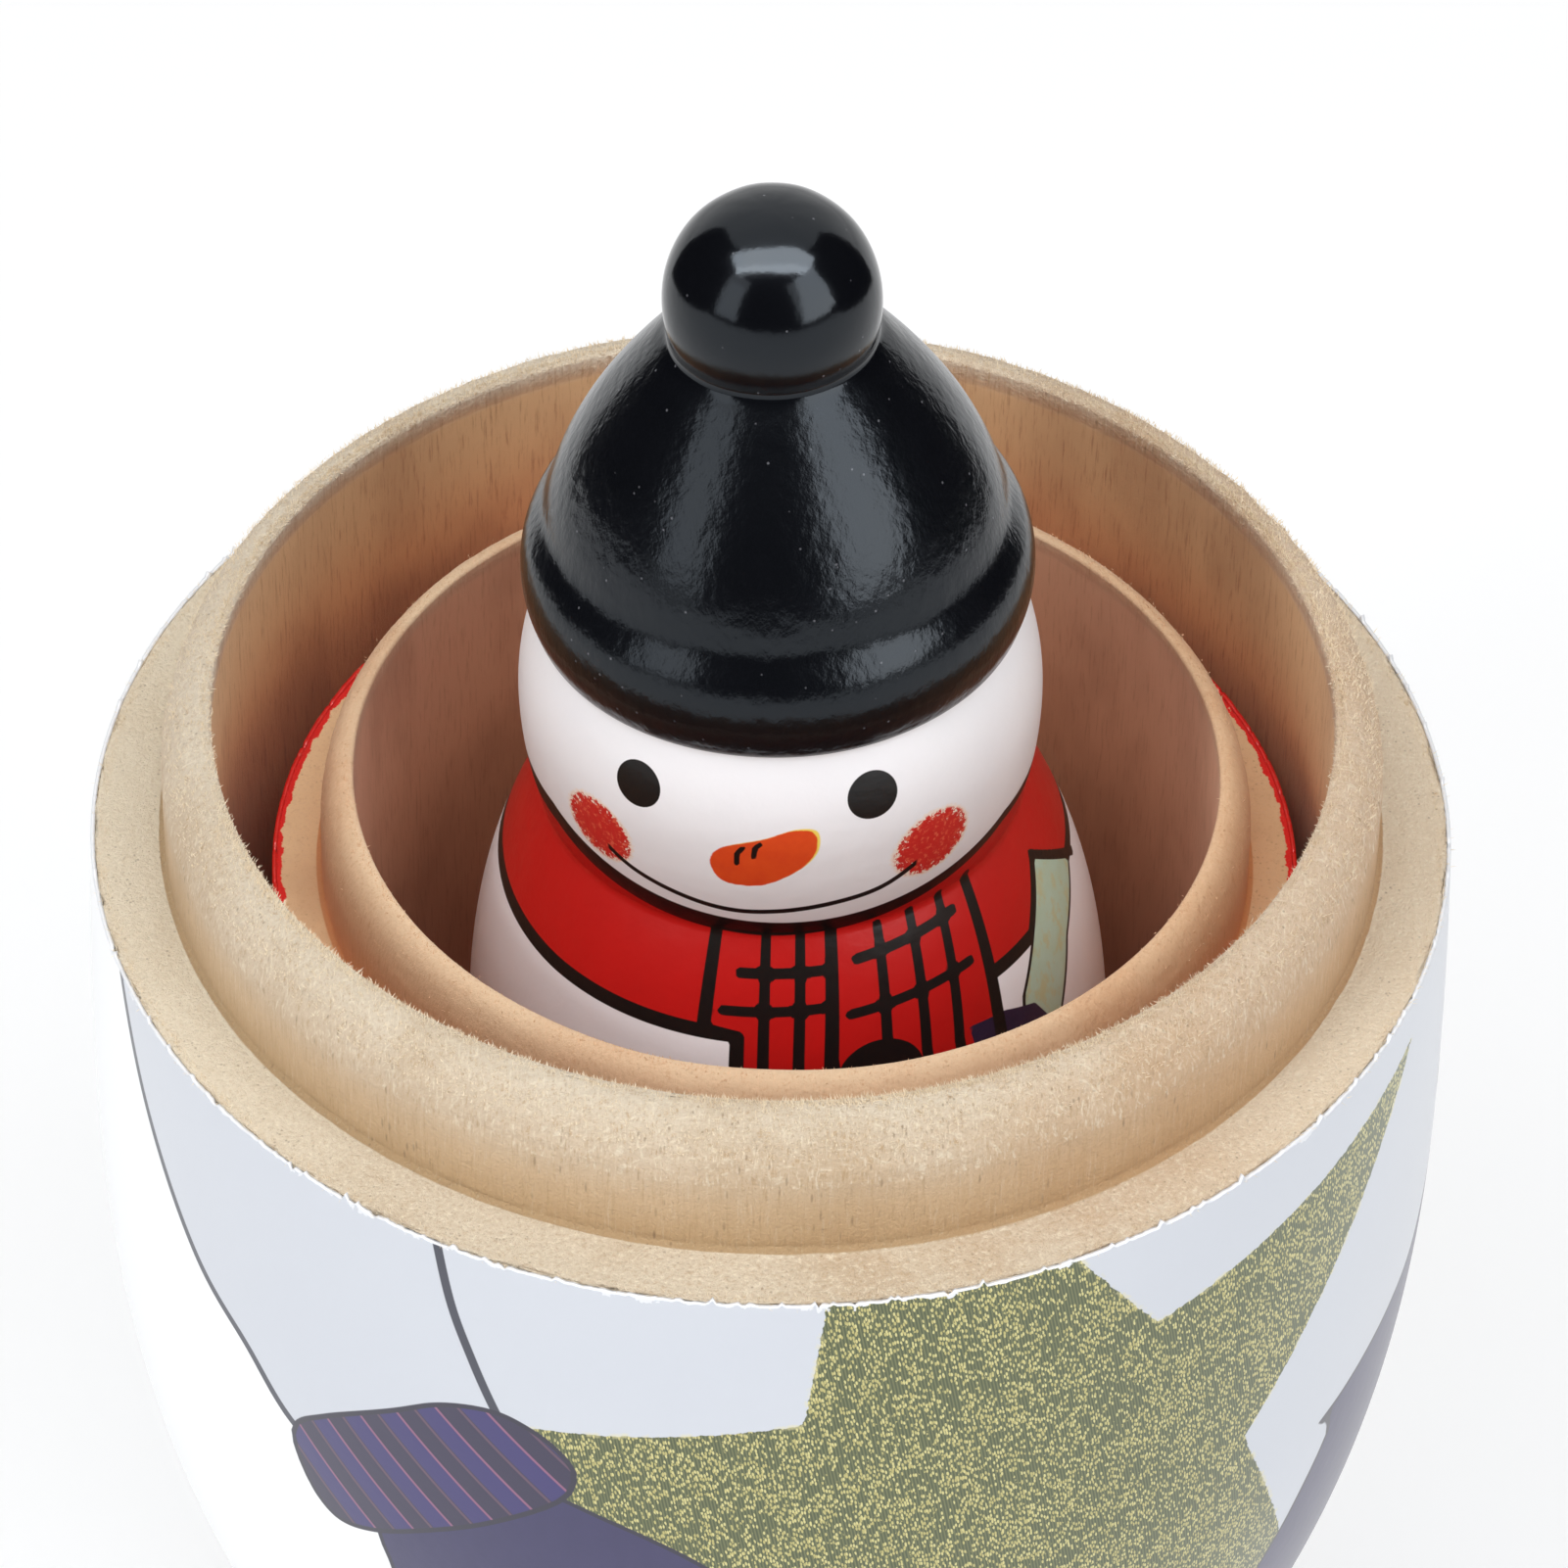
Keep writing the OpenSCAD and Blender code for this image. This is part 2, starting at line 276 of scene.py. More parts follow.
COLUMNS = 1240
around = TURN * np.arange(COLUMNS) / COLUMNS
chips = np.clip(wander(around, 21, 20, 300, 0.1) - 0.55, 0, None) * 0.6
flakes = np.clip(wander(around, 23, 40, 480, 0.05) - 0.3, 0, None) * 0.85
outer_top = 69.93 + 0.08 * wander(around, 22, 6, 420, 0.08) - chips + flakes
outer_film, outer_angle, outer_height, outer_torn = film_shell(
    "outer_printed_film", lambda z: half_side(z, outer), outer["film_low"], outer_top, columns=COLUMNS,
    rows=66, inner_rows=12, shift=outer["x0"], z0=outer["z0"], lap=0.06)
chips = np.clip(wander(around, 31, 30, 200, 0.1) - 0.35, 0, None) * 0.8
middle_top = 53.72 + 0.10 * wander(around, 32, 10, 160, 0.3) - chips
middle_film, _, _, middle_torn = film_shell(
    "middle_printed_film", lambda z: half_side(z, middle), middle["film_low"], middle_top, columns=COLUMNS,
    rows=30, inner_rows=12, shift=middle["x0"], z0=middle["z0"], lap=0.05)

# %% [markdown]
# ## The snowman
# One blank, turned to a belly, a neck, a head, a hat with a rolled brim and a knob. The hat is the
# widest of three simple forms at each height, an ellipse for the brim, a domed crown and a knob. A
# thick coat of lacquer fills the corners between them, so the section is smoothed there. The foot was
# cut a little out of square, so the whole figure leans to the left.

# %% sizes of the snowman
DOLL_FOOT_X, DOLL_FOOT_Z = 2.2, 23.0
LEAN = np.radians(1.8)
FOOT_R, HEEL = 14.6, 1.5
BELLY, BELLY_R = 24.5, 19.3
NECK, NECK_R = 51.1, 14.2
CHEEK, HEAD_R = 58.0, 15.2
HAT, BROW_R = 64.8, 13.8
BRIM_Z, BRIM_HALF, BRIM_R, BRIM_BULGE = 67.5, 4.3, 14.75, 2.9
CROWN_Z, CROWN_R, CROWN_TOP_R, CROWN_H = 70.5, 13.35, 6.0, 13.5
KNOB_Z, KNOB_R, KNOB_LOW_R, KNOB_TOP = 86.4, 6.15, 5.8, 6.5
SOFT_BELOW = 76.0
DOLL_FILM_LOW = 3.0
print("snowman", round(KNOB_Z + KNOB_TOP, 1), "mm high,", 2 * BELLY_R, "mm across")


# %% section of the snowman
def doll_side(h):
    """Radius of the snowman under the hat: belly, shoulders, cheeks and brow, each a power of the height."""
    low = BELLY_R - (BELLY_R - FOOT_R - HEEL) * np.clip((BELLY - h) / (BELLY - HEEL), 0, 1) ** 2.2
    high = BELLY_R - (BELLY_R - NECK_R) * np.clip((h - BELLY) / (NECK - BELLY), 0, 1) ** 3
    cheek = HEAD_R - (HEAD_R - NECK_R) * np.clip((CHEEK - h) / (CHEEK - NECK), 0, 1) ** 2
    brow = HEAD_R - (HEAD_R - BROW_R) * np.clip((h - CHEEK) / (HAT - CHEEK), 0, 1) ** 2
    return np.select([h < BELLY, h < NECK, h < CHEEK], [low, high, cheek], brow)


def hat_side(h):
    """Largest of brim ellipse, domed crown and knob at each height. Averaging each height with its
    neighbours, again and again, then fills the corners, more so below SOFT_BELOW."""
    off = np.abs(h - BRIM_Z) / BRIM_HALF
    brim = np.where(off < 1, BRIM_R - BRIM_BULGE + BRIM_BULGE * np.sqrt(np.clip(1 - off ** 2, 0, None)), 0)
    t = np.clip((h - CROWN_Z) / CROWN_H, 0, None)
    crown = np.where(t <= 1, CROWN_R - (CROWN_R - CROWN_TOP_R) * t ** 1.6, 0)
    draw_in = np.clip((KNOB_Z - h) / (KNOB_Z - CROWN_Z - CROWN_H), 0, 1)
    knob = np.where(h <= KNOB_Z, KNOB_R - (KNOB_R - KNOB_LOW_R) * draw_in ** 2, 0)
    sharp = np.maximum(np.maximum(brim, crown), knob)
    soft = sharp.copy()
    low_rows = int(np.searchsorted(h, SOFT_BELOW))
    for rounds, last in ((6, len(h)), (14, low_rows)):
        for _ in range(rounds):
            soft[1:last - 1] = (soft[:last - 2] + 2 * soft[1:last - 1] + soft[2:last]) / 4
    soft[:3] = sharp[:3]
    return soft


def doll_section():
    """Rows of (radius, height, zone): 0 foot, 1 wood under the film, 2 lacquered hat."""
    quarter = np.linspace(0, np.pi / 2, 10)
    foot = [np.linspace(1.0, FOOT_R, 7)[:-1], np.zeros(6)]
    heel = [FOOT_R + HEEL * np.sin(quarter), HEEL * (1 - np.cos(quarter))]
    bare = np.linspace(HEEL, DOLL_FILM_LOW, 4)[1:]
    hidden = np.concatenate([np.linspace(DOLL_FILM_LOW + 0.02, NECK, 40),
                             np.linspace(NECK + 0.3, HAT - 0.05, 26)])
    hat = np.linspace(HAT, KNOB_Z, 130)
    cap = np.linspace(0, np.pi / 2, 34)[1:-1]
    parts = [foot, heel, [doll_side(bare), bare], [doll_side(hidden) - FILM - 0.04, hidden],
             [hat_side(hat), hat],
             [KNOB_R * np.cos(cap) ** 0.92, KNOB_Z + KNOB_TOP * np.sin(cap) ** 0.96]]
    zones = [0, 0, 0, 1, 2, 2]
    return np.concatenate([np.stack([r, z, np.full(len(r), float(k))], -1)
                           for (r, z), k in zip(parts, zones)])


doll_rows = doll_section()
print("section rows", len(doll_rows))


# %% leaning wood and film
def lean(piece):
    """Turns a piece about the foot by the lean and sinks it, so that the flat cut takes the edge of
    the raised side."""
    points = np.empty(len(piece.data.vertices) * 3)
    piece.data.vertices.foreach_get("co", points)
    x, y, z = points.reshape(-1, 3).T / MM
    leaned_x = x * np.cos(LEAN) - z * np.sin(LEAN) + DOLL_FOOT_X
    leaned_z = np.maximum(x * np.sin(LEAN) + z * np.cos(LEAN) - FOOT_R * np.sin(LEAN), 0.0) + DOLL_FOOT_Z
    piece.data.vertices.foreach_set("co", (np.stack([leaned_x, y, leaned_z], -1) * MM).ravel())
    piece.data.update()


doll_columns = 320
doll_angle = TURN * np.arange(doll_columns) / doll_columns
UNEVEN, UNEVEN_OVER = 0.05, 3.1
on_hat = doll_rows[:, 2:] == 2
uneven = UNEVEN * wander(doll_angle, 41, 2, 9, 0.8) * on_hat * np.sin(doll_rows[:, 1:2] / UNEVEN_OVER)
snowman_wood = turned_mesh("snowman_wood", doll_rows[:, :1] + uneven,
                           doll_rows[:, 1:2] + np.zeros(doll_columns))
lean(snowman_wood)
doll_around = 420
snowman_film, face_angle, face_height, _ = film_shell(
    "snowman_printed_film", doll_side, DOLL_FILM_LOW, np.full(doll_around, HAT - 0.02), columns=doll_around,
    rows=176, inner_rows=60, shift=0.0, z0=0.0)
lean(snowman_film)

# %% [markdown]
# ## Drawing on the film
# The print is flat shapes with clear edges. Each shape is drawn here as a few corners in
# millimetres, across the front and up from the table. Every point of the film then keeps its
# distance to the shape, below zero inside. The finish turns these distances into edges and lines,
# which stay crisp at any size because no picture is stored.

# %% smooth curves
def through(corners, closed=True, parts=8):
    """Smooth curve through corners: each stretch is a cubic that leaves along its neighbours' direction."""
    c = np.asarray(corners, float)
    before, after, next_but_one = np.roll(c, 1, 0), np.roll(c, -1, 0), np.roll(c, -2, 0)
    if not closed:
        before[0], after[-1] = c[0], c[-1]
        next_but_one[-2], next_but_one[-1] = c[-1], c[-1]
    t = (np.arange(parts) / parts)[None, :, None]
    a, b, d, e = (v[:, None, :] for v in (before, c, after, next_but_one))
    curve = 0.5 * (2 * b + (d - a) * t + (2 * a - 5 * b + 4 * d - e) * t ** 2
                   + (3 * b - 3 * d + e - a) * t ** 3)
    curve = curve if closed else curve[:-1]
    line = curve.reshape(-1, 2)
    return line if closed else np.concatenate([line, c[-1:]])


print("three corners give", len(through([(0, 0), (1, 0), (1, 1)])), "points")


# %% distance to a shape
def to_pieces(x, y, start, end):
    """Distance from every point to every straight piece, square to it or to its nearer end."""
    px, py = x.reshape(-1, 1), y.reshape(-1, 1)
    along = end - start
    length2 = (along ** 2).sum(1) + 1e-12
    t = np.clip(((px - start[:, 0]) * along[:, 0] + (py - start[:, 1]) * along[:, 1]) / length2, 0, 1)
    gap_x, gap_y = px - start[:, 0] - t * along[:, 0], py - start[:, 1] - t * along[:, 1]
    return np.hypot(gap_x, gap_y)


def shape_distance(x, y, outline):
    """Distance to a closed outline, negative inside. A point is inside where a line to the right
    crosses the outline an odd number of times."""
    a = np.asarray(outline, float)
    b = np.roll(a, -1, 0)
    far = to_pieces(x, y, a, b)
    px, py = x.reshape(-1, 1), y.reshape(-1, 1)
    rise = np.where(b[:, 1] == a[:, 1], 1e-9, b[:, 1] - a[:, 1])
    meets = (b[:, 0] - a[:, 0]) * (py - a[:, 1]) / rise + a[:, 0]
    crossed = ((a[:, 1] > py) != (b[:, 1] > py)) & (px < meets)
    inside = crossed.sum(1) % 2 == 1
    return np.where(inside, -far.min(1), far.min(1)).reshape(x.shape)


def closest(layers):
    """Of several distances, the one nearest to zero at each point."""
    stack = np.stack(layers)
    return np.take_along_axis(stack, np.abs(stack).argmin(0)[None], 0)[0]


unit_square = [(-1, -1), (1, -1), (1, 1), (-1, 1)]
print("middle of a square", shape_distance(np.zeros(1), np.zeros(1), unit_square))

# %% [markdown]
# ## The big star and the mittens
# The outer doll holds a star in front of its coat. Only the lower part of the star is on this half:
# its upper point went with the lid. Two mittens with ribbed cuffs hold it, and thin lines show the
# arms. The ribs run along the arm, so a second number counts millimetres across them.

# %% outlines of the outer print
FRONT_R = 40.3
across, upward = outer_angle * FRONT_R, outer_height
star = [(5.8, 87.5), (2.6, 60.7), (-16.5, 57.2), (-1, 41), (-2, 14), (18, 31.0), (44, 18), (31.1, 48.1),
        (48.1, 67.2), (23.8, 62.5)]
cuff_left = through([(-29.3, 48.6), (-26.7, 51.5), (-21.7, 55.2), (-18.5, 57.4), (-15.2, 58.3), (-12.6, 57.5),
                     (-10.9, 56), (-10.4, 54.5), (-11.4, 52.3), (-15.5, 48.9), (-19.3, 46.3), (-23.5, 43.7),
                     (-26.4, 43), (-28.4, 45)])
mitten_left = through([(-22.9, 45), (-22.1, 40), (-21, 30), (-17, 21), (-7, 18), (2, 22), (6, 32), (4, 41),
                       (-2.7, 48.5), (-9.5, 52), (-13, 52.5), (-18, 50)])
mitten_right = through([(38.6, 42.4), (41.5, 43.2), (44.8, 44.0), (48.2, 44.7), (52.5, 45.6), (57, 48.5),
                        (61, 52), (66, 49), (70, 44), (69.5, 34), (63, 24), (50, 19), (40, 22),
                        (34.5, 29), (37.6, 35.5), (40.6, 41.0)])
MIRROR_AT = 23.75
FAR, ABOVE, UNDER = 128.0, 75.0, -4.0
arm_outside = [(-50.9, ABOVE), (-47.9, 69.6), (-43.7, 63.0), (-37.9, 56.1), (-33.2, 52.7), (-29.3, 49.0),
               (-23.0, 46.0)]
arm_inside = [(-13.7, 55.3), (-15.4, 59.0), (-16.6, 62.0), (-17.9, 65.7), (-18.9, 70.2), (-19.8, ABOVE)]
coat_side = [(-20.6, 41), (-19.9, 34), (-20.2, 28), (-22.8, 21), (-23.6, 13), (-22.6, 3), (-22, UNDER)]
sleeve_left = np.concatenate([through(arm_outside, False), through(arm_inside, False)])
beside_left = np.concatenate([through(arm_outside + coat_side, False), [(-FAR, UNDER), (-FAR, ABOVE)]])
print("corners drawn", len(star), len(cuff_left), len(mitten_left), len(mitten_right))


# %% distances kept on the outer film
def both_sides(outline):
    """Distance to an outline or to its mirror image on the other side of the star, whichever is nearer."""
    swapped = np.asarray(outline) * np.array([-1.0, 1.0]) + np.array([2 * MIRROR_AT, 0.0])
    return np.minimum(shape_distance(across, upward, outline), shape_distance(across, upward, swapped))


store(outer_film, "star", shape_distance(across, upward, star))
store(outer_film, "mitten", np.minimum(shape_distance(across, upward, mitten_left),
                                       shape_distance(across, upward, mitten_right)))
store(outer_film, "cuff", both_sides(cuff_left))
store(outer_film, "sleeve", both_sides(sleeve_left))
store(outer_film, "beside", both_sides(beside_left))
RIB_TILT = np.radians(44.5)
side_sign = np.where(across < MIRROR_AT, 1.0, -1.0)
store(outer_film, "rib", (across - MIRROR_AT) * side_sign * np.sin(RIB_TILT) + upward * np.cos(RIB_TILT))
SLANT = np.radians(10.0)
store(outer_film, "slant", across * np.cos(SLANT) + upward * np.sin(SLANT))
store(outer_film, "along", upward * np.cos(SLANT) - across * np.sin(SLANT))
store(outer_film, "torn", outer_torn)
store(middle_film, "torn", middle_torn)
print("star reaches up to", max(y for _, y in star), "mm, the film ends at", round(float(outer_top.max()), 2))

# %% [markdown]
# ## The snowman's face and scarf
# Eyes are black discs, cheeks are rubbed on as loose red dots, the nose is a small orange bean and
# the smile one thin line. The scarf is a red band round the neck with black outlines and two tails
# with a loosely drawn tartan, over a buttoned white belly. Angles are in degrees from the front.

# %% drawing on the snowman
FACE_R = 15.0
face_x, face_y = face_angle * FACE_R, face_height


def at(points):
    """Turns (degrees round, height) into (millimetres across, height) on the face."""
    return [(np.radians(a) * FACE_R, h) for a, h in points]


def dots(places):
    """Distance to the nearest of several round dots given as degrees, height and radius."""
    return np.min([np.hypot(face_x - np.radians(a) * FACE_R, face_y - h) - r for a, h, r in places], 0)


def strokes(lines, half):
    """Distance to the edge of the nearest of several straight pen strokes of one width."""
    ends = np.array([at(line) for line in lines])
    far = to_pieces(face_x, face_y, ends[:, 0], ends[:, 1])
    return (far.min(1) - half).reshape(face_x.shape)


def rubbed(angle, h, wide, tall, tilt):
    """1 in the middle of a tilted oval and 0 at its edge, falling with the square of the distance."""
    dx, dy = face_x - np.radians(angle) * FACE_R, face_y - h
    u, v = dx * np.cos(tilt) + dy * np.sin(tilt), dy * np.cos(tilt) - dx * np.sin(tilt)
    return 1 - (u / wide) ** 2 - (v / tall) ** 2


print("face drawn on", face_x.shape, "points")

# %% eyes, nose, smile and cheeks
store(snowman_film, "eyes", dots([(-31.8, 61.45, 1.48), (21.7, 61.6, 1.53)]))
bean = np.array(through(at([(-14.2, 57.8), (-11.0, 58.7), (-2.9, 59.4), (3.5, 60.0), (8.2, 59.75),
                            (8.2, 58.32), (4.4, 57.05), (-3.1, 55.91), (-10.5, 55.86), (-13.6, 56.6)])))
store(snowman_film, "nose", shape_distance(face_x, face_y, bean))
store(snowman_film, "nose_slip", shape_distance(face_x, face_y, bean + np.array([0.2, 0.12])))
store(snowman_film, "nostrils", strokes(
    [[(-8.6, 57.5), (-8.5, 58.3)], [(-8.5, 58.3), (-7.2, 58.75)], [(-4.9, 58.1), (-4.6, 58.8)],
     [(-4.6, 58.8), (-3.4, 59.1)]], 0.16))
smile = through(at([(-40.1, 55.64), (-33.2, 54.72), (-21.1, 53.86), (-11.0, 53.42), (-1.1, 53.49),
                    (12.0, 53.91), (23.2, 54.43), (31.7, 55.52)]), False)
smile_slope = np.interp(face_x, smile[:, 0], np.gradient(smile[:, 1], smile[:, 0]))
smile_gap = face_y - np.interp(face_x, smile[:, 0], smile[:, 1])
store(snowman_film, "smile", smile_gap / np.hypot(1, smile_slope))
store(snowman_film, "smile_end", np.maximum(smile[0, 0] - face_x, face_x - smile[-1, 0]))
store(snowman_film, "cheeks", np.maximum(rubbed(-42.6, 56.7, 2.4, 2.1, -0.35),
                                         rubbed(35.5, 56.6, 2.5, 2.25, 0.3)))
print("smile from", smile[0].round(1), "to", smile[-1].round(1))

# %% scarf, strip and buttons
band_top = 51.72 + (5.1 - 0.5 * np.sin(face_angle)) * np.clip(1 - np.cos(face_angle), 0, 0.5)
band_foot = 45.4 + 0.35 * np.clip(np.abs(face_angle) - 0.9, 0, 0.5)
band = np.maximum(face_y - band_top, band_foot - face_y)
left_tail = [(-14.5, 51.6), (-15.3, 45.55), (-8.4, 45.3), (-8.4, 43.5), (-9.8, 36), (-13, 27),
             (7.5, 25.5), (9.8, 43.7), (12.1, 51.4)]
right_tail = [(12.1, 51.4), (9.8, 43.7), (16, 30), (43.5, 29), (45.7, 43.2), (48.3, 51.4)]
tails = np.minimum(shape_distance(face_x, face_y, at(left_tail)),
                   shape_distance(face_x, face_y, at(right_tail)))
store(snowman_film, "scarf", np.minimum(band, tails))
outlines = list(zip(left_tail, left_tail[1:])) + list(zip(right_tail[1:], right_tail[2:]))
check = strokes([[(-2.9, 51.5), (-3.3, 43.8)], [(-3.3, 43.8), (-4, 27)], [(5.0, 51.5), (3.5, 43.8)],
                 [(3.5, 43.8), (2, 27)], [(-8.4, 49.0), (11.3, 49.1)], [(-11.6, 46.8), (10.6, 47.0)],
                 [(-8, 41), (9.5, 41.2)], [(-9, 38), (8.5, 38.3)], [(-10.5, 33), (8, 33.3)],
                 [(23.1, 50.95), (21.2, 44.6)], [(21.2, 44.6), (24, 30.5)], [(31.5, 51.1), (28.8, 43.0)],
                 [(28.8, 43.0), (30, 30.5)], [(39.8, 51.3), (35.9, 42.7)], [(35.9, 42.7), (37, 30.5)],
                 [(17.0, 49.4), (42.2, 50.0)], [(14.4, 46.4), (42.4, 46.9)], [(13.5, 38.5), (44, 38.2)],
                 [(15.5, 34), (43.5, 33.8)]], 0.3)
store(snowman_film, "pen", np.minimum(strokes(outlines, 0.38), check))
upper = (face_y - band_top) / (1.5 - 0.5 * np.sin(face_angle))
NOT_DRAWN = -99.0
lower = np.where((tails < -0.2) | (face_y > 48.5), NOT_DRAWN, band_foot - face_y)
store(snowman_film, "band_edge", closest([upper, lower]))
store(snowman_film, "strip", shape_distance(face_x, face_y, at(
    [(70.8, 48.63), (84.5, 45.4), (71.1, 42.9), (62.8, 39.5), (56, 36), (49, 38),
     (52.9, 42.68), (60.4, 45.36)])))
store(snowman_film, "strip_top", strokes([[(47.5, 45.3), (59.5, 45.4)], [(70.4, 48.9), (87.9, 44.9)],
                                          [(59.8, 45.5), (70.6, 48.8)]], 0.27))
store(snowman_film, "patch", shape_distance(face_x, face_y, at(
    [(38.5, 43.2), (47.4, 42.8), (55.4, 41.7), (58.4, 40.1), (55, 33), (42, 33)])))
store(snowman_film, "button", dots([(19.2, 42.3, 2.25), (19.2, 34.5, 2.25)]))
layers = [layer.name for layer in snowman_film.data.attributes if layer.data_type == "FLOAT"]
print("print layers on the snowman", layers)

# %% [markdown]
# ## Loose fibres
# Turned basswood that was never sanded has a nap of short torn fibres on its lip and edges. They are
# made as thin three-sided spikes, each with its foot in the wood and its tip leaning at random.

# %% nap of fibres
STRAY, ROOTED, TURNED = 0.12, 0.12, 0.45
THINNEST, THICKEST, SHORTEST = 0.018, 0.036, 0.1


def fibre_nap(name, s, circles, count, longest, seed):
    """Spikes at random angles on given circles (radius, height, lean out, lean up): three corners and
    a tip each. The foot strays across its circle and is rooted below the face of the wood."""
    draw = np.random.default_rng(seed)
    pick = np.asarray(circles)[draw.integers(0, len(circles), count)]
    angle = draw.uniform(0, TURN, count)
    outward = np.stack([np.sin(angle), -np.cos(angle), np.zeros(count)], -1)
    sideways = np.stack([np.cos(angle), np.sin(angle), np.zeros(count)], -1)
    upright = np.array([0.0, 0.0, 1.0])
    radius = pick[:, 0] + draw.normal(0, STRAY, count)
    foot = outward * radius[:, None] + upright * (pick[:, 1] - ROOTED)[:, None]
    lean_to = outward * pick[:, 2:3] + upright * pick[:, 3:4] + draw.normal(0, TURNED, (count, 3))
    lean_to /= np.linalg.norm(lean_to, axis=1, keepdims=True)
    reach = longest * draw.beta(1.5, 3.0, count)[:, None] + SHORTEST
    thick = draw.uniform(THINNEST, THICKEST, count)[:, None]
    corners = [foot + thick * sideways, foot - thick * sideways + thick * outward, foot - thick * outward]
    points = np.stack(corners + [foot + lean_to * reach], 1) + np.array([s["x0"], 0.0, s["z0"]])
    pattern = np.array([[0, 1, 3], [1, 2, 3], [2, 0, 3], [0, 2, 1]])
    faces = (np.arange(count)[:, None, None] * 4 + pattern).reshape(-1, 3)
    mesh = bpy.data.meshes.new(name)
    mesh.from_pydata((points.reshape(-1, 3) * MM).tolist(), [], faces.tolist())
    mesh.update()
    piece = bpy.data.objects.new(name, mesh)
    scene.collection.objects.link(piece)
    print(name, count, "fibres")
    return piece


def lip_circles(s, steps, rim_share):
    """Circles along the rounded lip, from its outside to the edge of the bore, which gets a share of
    its own."""
    a = np.linspace(0.55, np.pi / 2, steps)
    top = s["h"] + s["spigot_h"]
    lip = np.stack([s["spigot"] - s["lip_w"] * (1 - np.cos(a)), top - s["lip_h"] * (1 - np.sin(a)),
                    0.5 * np.cos(a), 0.4 + np.sin(a)], -1)
    rim = [(s["bore"] + 0.45, top, -0.3, 1.0), (s["bore"] + 0.22, top - 0.05, -0.5, 0.9)] * rim_share
    return np.concatenate([lip, rim])


outer_nap = fibre_nap("outer_fibres", outer, lip_circles(outer, steps=12, rim_share=7),
                      count=32000, longest=0.45, seed=51)
shoulder_edge = [(39.62, 69.95, 0.9, 0.5), (39.3, 69.97, 0.3, 1.0)]
edge_nap = fibre_nap("shoulder_fibres", outer, shoulder_edge, count=7000, longest=0.6, seed=53)
middle_nap = fibre_nap("middle_fibres", middle, lip_circles(middle, steps=4, rim_share=3),
                       count=4000, longest=0.16, seed=52)

# %% [markdown]
# ## A bench for finishes
# A finish is a small graph of shader nodes. The helper below makes one with a plain shader and gives
# short names to the few steps used here: read a number kept on the piece, draw noise in
# millimetres, turn a range into 0 to 1, and lay one colour over another.

# %% screen colours
def ink(red, green, blue):
    """A colour as it looks on a screen, 0 to 255, turned into the light it stands for."""
    c = np.array([red, green, blue]) / 255
    light = np.where(c <= 0.04045, c / 12.92, ((c + 0.055) / 1.055) ** 2.4)
    return (*light.tolist(), 1.0)


print("mid grey on a screen is", round(ink(128, 128, 128)[0], 3), "of full light")


